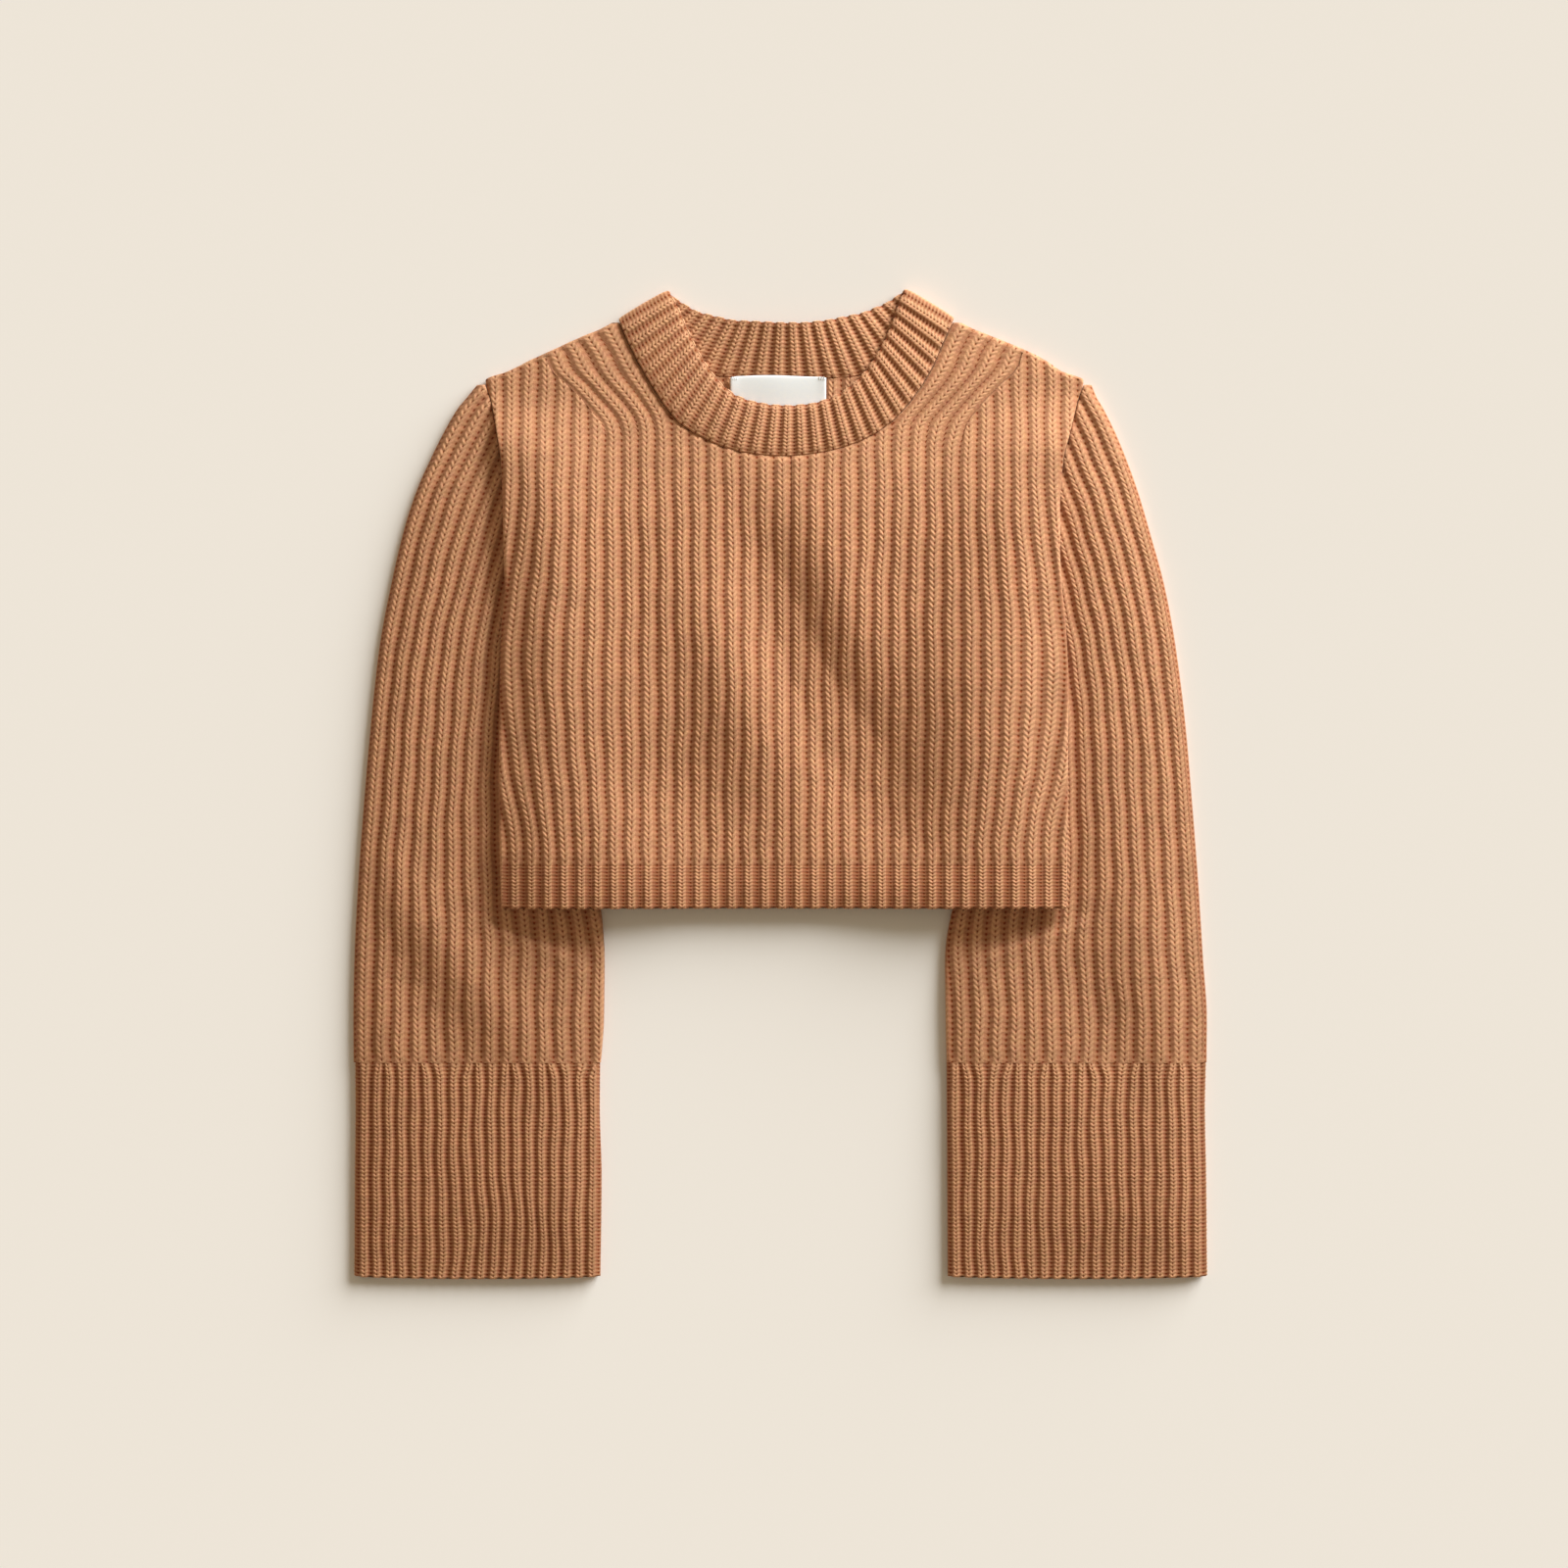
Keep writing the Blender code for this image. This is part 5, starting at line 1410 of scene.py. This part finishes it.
def knit_finish(name, knit):
    """Cashmere in a given stitch: painted shade and highlight, heather, fibre bump and sheen."""
    material, tree = new_material(name)

    def calc(operation, *inputs, **settings):
        """One step of arithmetic on numbers or outputs."""
        return add(tree, "ShaderNodeMath", dict(enumerate(inputs)), operation=operation, **settings)

    def ramp(value, start, end, first, last, shape="SMOOTHSTEP"):
        """Runs from first to last while the value runs from start to end."""
        return add(tree, "ShaderNodeMapRange", {"Value": value, "From Min": start, "From Max": end,
                                                "To Min": first, "To Max": last},
                   interpolation_type=shape)

    uv = add(tree, "ShaderNodeUVMap", {}, uv_map="knit")
    parts = add(tree, "ShaderNodeSeparateXYZ", {0: uv}, None)
    wale, course = parts.outputs[0], parts.outputs[1]
    plain = add(tree, "ShaderNodeAttribute", {}, "Fac", attribute_name="plain")
    whole = calc("ROUND", wale)
    away = calc("ABSOLUTE", calc("SUBTRACT", wale, whole))

    # The same formulas as stitch_height, with the wave running from 0 to 1
    crest, half = knit["crest"], knit["crest"] / 2
    top = ramp(away, knit["foot"] - knit["shoulder"], knit["foot"], 1.0, 0.0)
    off = calc("DIVIDE", calc("SUBTRACT", away, half), half + LEG_EDGE)
    off = calc("MULTIPLY", off, off)
    leg = calc("SQRT", calc("MAXIMUM", calc("SUBTRACT", 1.0, off), 0.0))
    up = ramp(away, 0.0, crest, 0.0, knit["rise"], "LINEAR")
    down = ramp(away, crest, 0.5, 0.0, FALL * knit["rise"], "LINEAR")
    phase = calc("ADD", calc("SUBTRACT", course, up), down)
    wave = calc("COSINE", calc("MULTIPLY", phase, 2 * np.pi))
    wave = calc("MULTIPLY_ADD", wave, 0.5, 0.5)

    # Painted light and shade: light yarn is most on a leg, less on the flank and least in the
    # valley and the holes, and each strand is painted lighter on top and darker where it dips
    leg_painted_shade = calc("MULTIPLY_ADD", wave, LEG_PAINTED_LIGHT_AND_SHADE[1], LEG_PAINTED_LIGHT_AND_SHADE[0])
    valley_painted_shade = calc("MULTIPLY_ADD", wave, knit["hatch"], knit["ground"])
    valley_painted_shade = calc("MULTIPLY_ADD", top, FLANK_PAINTED_LIGHT, valley_painted_shade)
    where = add(tree, "ShaderNodeTexCoord", {}, "Object")
    up_body = add(tree, "ShaderNodeSeparateXYZ", {0: where}, 1)
    # Painted light: the valleys' painted shade grows lighter towards the shoulders
    loose = ramp(up_body, LOOSE_FROM * MM, (LOOSE_FROM + LOOSE_OVER) * MM, 0.0, LOOSE_PAINTED_LIGHT)
    valley_painted_shade = calc("ADD", valley_painted_shade, loose)
    painted_shade_tone = add(tree, "ShaderNodeMix", {"Factor": leg, "A": valley_painted_shade, "B": leg_painted_shade})
    # The holes, at the V's middle and in the valley: shade painted in them, and a dent in the bump
    gap = calc("SUBTRACT", 1.0, wave)
    gap = calc("MULTIPLY", gap, gap)
    foot = calc("MINIMUM", calc("SUBTRACT", 0.5, away), away)
    hole = calc("MULTIPLY", gap, ramp(foot, 0.0, HOLE_WIDE, 1.0, 0.0))
    painted_shade_tone = calc("MULTIPLY_ADD", hole, -HOLE_PAINTED_SHADE, painted_shade_tone, use_clamp=True)

    # Heather: each stitch, each hair and a slow cloud differ a little
    stitch = calc("ROUND", phase)
    cell = add(tree, "ShaderNodeCombineXYZ", {0: whole, 1: stitch, 2: 0.0})
    own = add(tree, "ShaderNodeTexWhiteNoise", {0: cell}, "Value", noise_dimensions="3D")
    hairs, cloud = noise(tree, where, FIBRE, 3.0), noise(tree, where, CLOUD, 2.0)
    mean = 1.0 - OWN_VALUE / 2 - HAIR_VALUE / 2 - CLOUD_VALUE / 2
    value = calc("MULTIPLY_ADD", own, OWN_VALUE, mean)
    value = calc("MULTIPLY_ADD", hairs, HAIR_VALUE, value)
    value = calc("MULTIPLY_ADD", cloud, CLOUD_VALUE, value)
    # The colour: the yarn's own, mixed towards the deep colour of the painted shade
    colour = add(tree, "ShaderNodeMix", {"Factor": painted_shade_tone, 6: linear(YARN_PAINTED_SHADE),
                                         7: linear(YARN_LIGHT)}, 2, data_type="RGBA")
    tuft = noise(tree, where, TUFT, 1.0)
    hue = ramp(tuft, 0.25, 0.75, 0.5 - HUE_SHIFT, 0.5 + HUE_SHIFT, "LINEAR")
    colour = add(tree, "ShaderNodeHueSaturation", {"Hue": hue, "Value": value, "Color": colour})

    # Height in millimetres: the whole stitch where the shape is plain, and the fibres everywhere
    strand = calc("MULTIPLY", leg, wave)
    rib = calc("MULTIPLY_ADD", leg, LEG_SHARE, 0.0)
    rib = calc("MULTIPLY_ADD", top, 1 - LEG_SHARE, rib)
    rib = calc("MULTIPLY", rib, knit["height"])
    rib = calc("MULTIPLY", calc("MULTIPLY_ADD", strand, knit["strand"], rib), plain)
    height = calc("MULTIPLY_ADD", strand, STRAND_BUMP, rib)
    height = calc("MULTIPLY_ADD", hole, HOLE_BUMP, height)
    height = calc("MULTIPLY_ADD", hairs, HAIR_BUMP, height)
    bump = add(tree, "ShaderNodeBump", {"Height": height, "Distance": MM, "Strength": 0.8})
    shader = add(tree, "ShaderNodeBsdfPrincipled", {
        "Base Color": colour, "Roughness": 0.92, "IOR": 1.54, "Specular IOR Level": 0.25,
        "Sheen Weight": 0.40, "Sheen Roughness": 0.5, "Sheen Tint": linear("#F0CDB0"),
        "Normal": bump})
    add(tree, "ShaderNodeOutputMaterial", {"Surface": shader}, None)
    return material


body_finish = knit_finish("cashmere_half_fisherman_rib", BODY_KNIT)
hem_finish = knit_finish("cashmere_hem_rib", HEM_KNIT)
cuff_finish = knit_finish("cashmere_cuff_rib", CUFF_KNIT)
band_finish = knit_finish("cashmere_neckband_rib", BAND_KNIT)
print("nodes in the body's finish:", len(body_finish.node_tree.nodes))

# %% [markdown]
# The label is polyester satin. Its long floats lie side by side, a fifth of a millimetre
# apart, and make it shine more across than along them.

# %% The label's finish
FLOAT = 0.2
MOTTLE = 2.5
MOTTLE_COLOURS = {6: "#F0F6FF", 7: "#F8FCFF"}


def label_finish():
    """White woven satin: fine ridges along X and a slight mottle."""
    material, tree = new_material("woven_polyester_satin")
    where = add(tree, "ShaderNodeTexCoord", {}, "Object")
    ridges = add(tree, "ShaderNodeTexWave", {"Vector": where, "Scale": 1 / (FLOAT * MM) / 6.28,
                                             "Distortion": 0.6}, "Fac", bands_direction="Y")
    mottle = noise(tree, where, MOTTLE, 2.0)
    colours = {place: linear(code) for place, code in MOTTLE_COLOURS.items()}
    colour = add(tree, "ShaderNodeMix", {"Factor": mottle, **colours}, 2, data_type="RGBA")
    bump = add(tree, "ShaderNodeBump", {"Height": ridges, "Distance": 0.05 * MM, "Strength": 0.5})
    shader = add(tree, "ShaderNodeBsdfPrincipled", {
        "Base Color": colour, "Roughness": 0.42, "IOR": 1.57, "Sheen Weight": 0.1, "Normal": bump})
    add(tree, "ShaderNodeOutputMaterial", {"Surface": shader}, None)
    return material


satin_finish = label_finish()
print("nodes in the label's finish:", len(satin_finish.node_tree.nodes))

# %% [markdown]
# ## Attach the pieces
# Each piece rides on the one body and takes the place of its CAD node, which is hidden. The
# size of its cut is listed with it, all round where it is a tube.

# %% Sizes of the cuts
FRONT_MIDDLE = 6.9
PANEL_LENGTH = (SHOULDER_TOP - HEM_SEAM) * MM
LABEL_CUT = (0.0638, 0.038)


def flat_area(rows, width):
    """Area in square metres of a flat shape: its width, summed over its length."""
    return float(np.sum((width[1:] + width[:-1]) / 2 * np.diff(rows))) * MM * MM


def sleeve_area(side):
    """Area of a sleeve's cut: a tube has two layers."""
    rows = np.linspace(CUFF_SEAM, SLEEVE_TOP, 60)
    return 2 * flat_area(rows, np.abs(read(SLEEVE, side + "_inner", rows)
                                      - read(SLEEVE, side + "_outer", rows)))


def half_area(side, curve, lowest, centre):
    """Area of half a panel, whose width is counted from the centre line or the neck."""
    rows = np.linspace(HEM_SEAM, SHOULDER_TOP, 200)
    near = np.where(rows > lowest, neck_x(curve, side, rows), centre)
    return flat_area(rows, np.abs(outline(side, rows) - near))


front_areas = [half_area(side, FRONT_NECK, NECK_LOW[1], FRONT_MIDDLE) for side in ("low", "high")]
back_area = sum(half_area(side, BACK_NECK, BACK_NECK_LOW[1], BACK_NECK_LOW[0])
                for side in ("low", "high"))
print("cut of the back, m2:", round(back_area, 4))

# %% [markdown]
# Each row has a piece, its node, its finish, the flat size of its cut, and the cut's area where
# it isn't a rectangle. There are no joints, so all pieces ride on the one body.

# %% Ride and replace
dressed = (
    (front_right, "front_panel", body_finish, (0.1995, PANEL_LENGTH), front_areas[0]),
    (front_left, "front_panel", body_finish, (0.1955, PANEL_LENGTH), front_areas[1]),
    (back, "back_panel", body_finish, (0.398, PANEL_LENGTH), back_area),
    (hem_front, "hem_front", hem_finish, (0.374, 0.0286), None),
    (hem_back, "hem_back", hem_finish, (0.374, 0.0286), None),
    (sleeve_right, "sleeve_right", body_finish, (0.334, 0.450), sleeve_area("low")),
    (sleeve_left, "sleeve_left", body_finish, (0.346, 0.450), sleeve_area("high")),
    (cuff_right, "cuff_right", cuff_finish, (0.327, 0.1431), None),
    (cuff_left, "cuff_left", cuff_finish, (0.344, 0.1431), None),
    (neckband, "neckband", band_finish, (0.56, BAND_WIDTH * MM), None),
    (label, "label", satin_finish, LABEL_CUT, None),
)
for piece, node, finish, flat, area in dressed:
    piece.data.materials.append(finish)
    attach(piece, "root")
    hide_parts(node)
stitches.data.materials.append(satin_finish)
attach(stitches, "root")
print("pieces:", len(dressed) + 1)

# %% [markdown]
# ## Floor, light and camera
# The floor is a pale cream sweep. Two lights come from the upper right, each linked to its own
# objects: a low, broad sun gives the floor the soft shadow below and to the left, and a closer
# softbox lights the knitting. A weak warm sky fills both. The camera looks straight down.

# %% Stage
FLOOR = "#F3F1EF"
SKY_STRENGTH = 0.33
SKY_COLOUR = (1.0, 0.82, 0.56, 1.0)
SUN_COLOUR = (1.0, 1.0, 0.98)
SUN_AZIMUTH = 44.0
SUN_ELEVATION = 15.0
SUN_WIDE = 51.0
SUN_STRENGTH = 7.2
BOX_COLOUR = (0.97, 0.98, 0.955)
BOX_AZIMUTH = 53.0
BOX_ELEVATION = 19.0
BOX_AWAY = 1.85
BOX_SIZE = 0.8
BOX_POWER = 54.5


def light(name, kind, azimuth, elevation, away, **settings):
    """A light that looks at the middle of the sweater, from an azimuth and an elevation."""
    data = bpy.data.lights.new(name, kind)
    for setting, value in settings.items():
        setattr(data, setting, value)
    up, round_z = np.radians((elevation, azimuth))
    towards = Vector((np.cos(up) * np.cos(round_z), np.cos(up) * np.sin(round_z), np.sin(up)))
    obj = bpy.data.objects.new(name, data)
    obj.location = towards * away
    obj.rotation_euler = towards.to_track_quat("Z", "Y").to_euler()
    bpy.context.scene.collection.objects.link(obj)
    return obj


def light_only(lamp, name, objects):
    """Let a light reach only some objects. All objects still cast their shadows in it."""
    receivers = bpy.data.collections.new(name)
    for obj in objects:
        receivers.objects.link(obj)
    lamp.light_linking.receiver_collection = receivers


bpy.ops.mesh.primitive_plane_add(size=12.0, location=(0.0, 0.0, -0.0003))
floor = bpy.context.object
floor.name = "floor"
material, tree = new_material("cream_sweep")
shader = add(tree, "ShaderNodeBsdfPrincipled", {"Base Color": linear(FLOOR), "Roughness": 1.0,
                                                "Specular IOR Level": 0.0})
add(tree, "ShaderNodeOutputMaterial", {"Surface": shader}, None)
floor.data.materials.append(material)

world = bpy.data.worlds.new("studio")
bpy.context.scene.world = world
world.use_nodes = True
sky = world.node_tree.nodes["Background"]
sky.inputs["Color"].default_value = SKY_COLOUR
sky.inputs["Strength"].default_value = SKY_STRENGTH

sun = light("floor_light", "SUN", SUN_AZIMUTH, SUN_ELEVATION, 2.0, color=SUN_COLOUR,
            energy=SUN_STRENGTH, angle=float(np.radians(SUN_WIDE)))
box = light("softbox", "AREA", BOX_AZIMUTH, BOX_ELEVATION, BOX_AWAY, color=BOX_COLOUR,
            energy=BOX_POWER, size=BOX_SIZE)
light_only(sun, "floor_only", [floor])
light_only(box, "knitting_only", [row[0] for row in dressed] + [stitches])

CAMERA_HEIGHT = 2.4
VIEW_WIDTH = 1.04
camera_data = bpy.data.cameras.new("camera")
camera_data.lens = 36.0 * (CAMERA_HEIGHT - 0.008) / VIEW_WIDTH
camera_data.sensor_width = 36.0
camera = bpy.data.objects.new("camera", camera_data)
camera.location = (0.0026, 0.0, CAMERA_HEIGHT)
bpy.context.scene.collection.objects.link(camera)
bpy.context.scene.camera = camera
bpy.context.scene.view_settings.view_transform = "Standard"
print("lights:", sun.name, "and", box.name, "- the camera sees", VIEW_WIDTH, "m across")
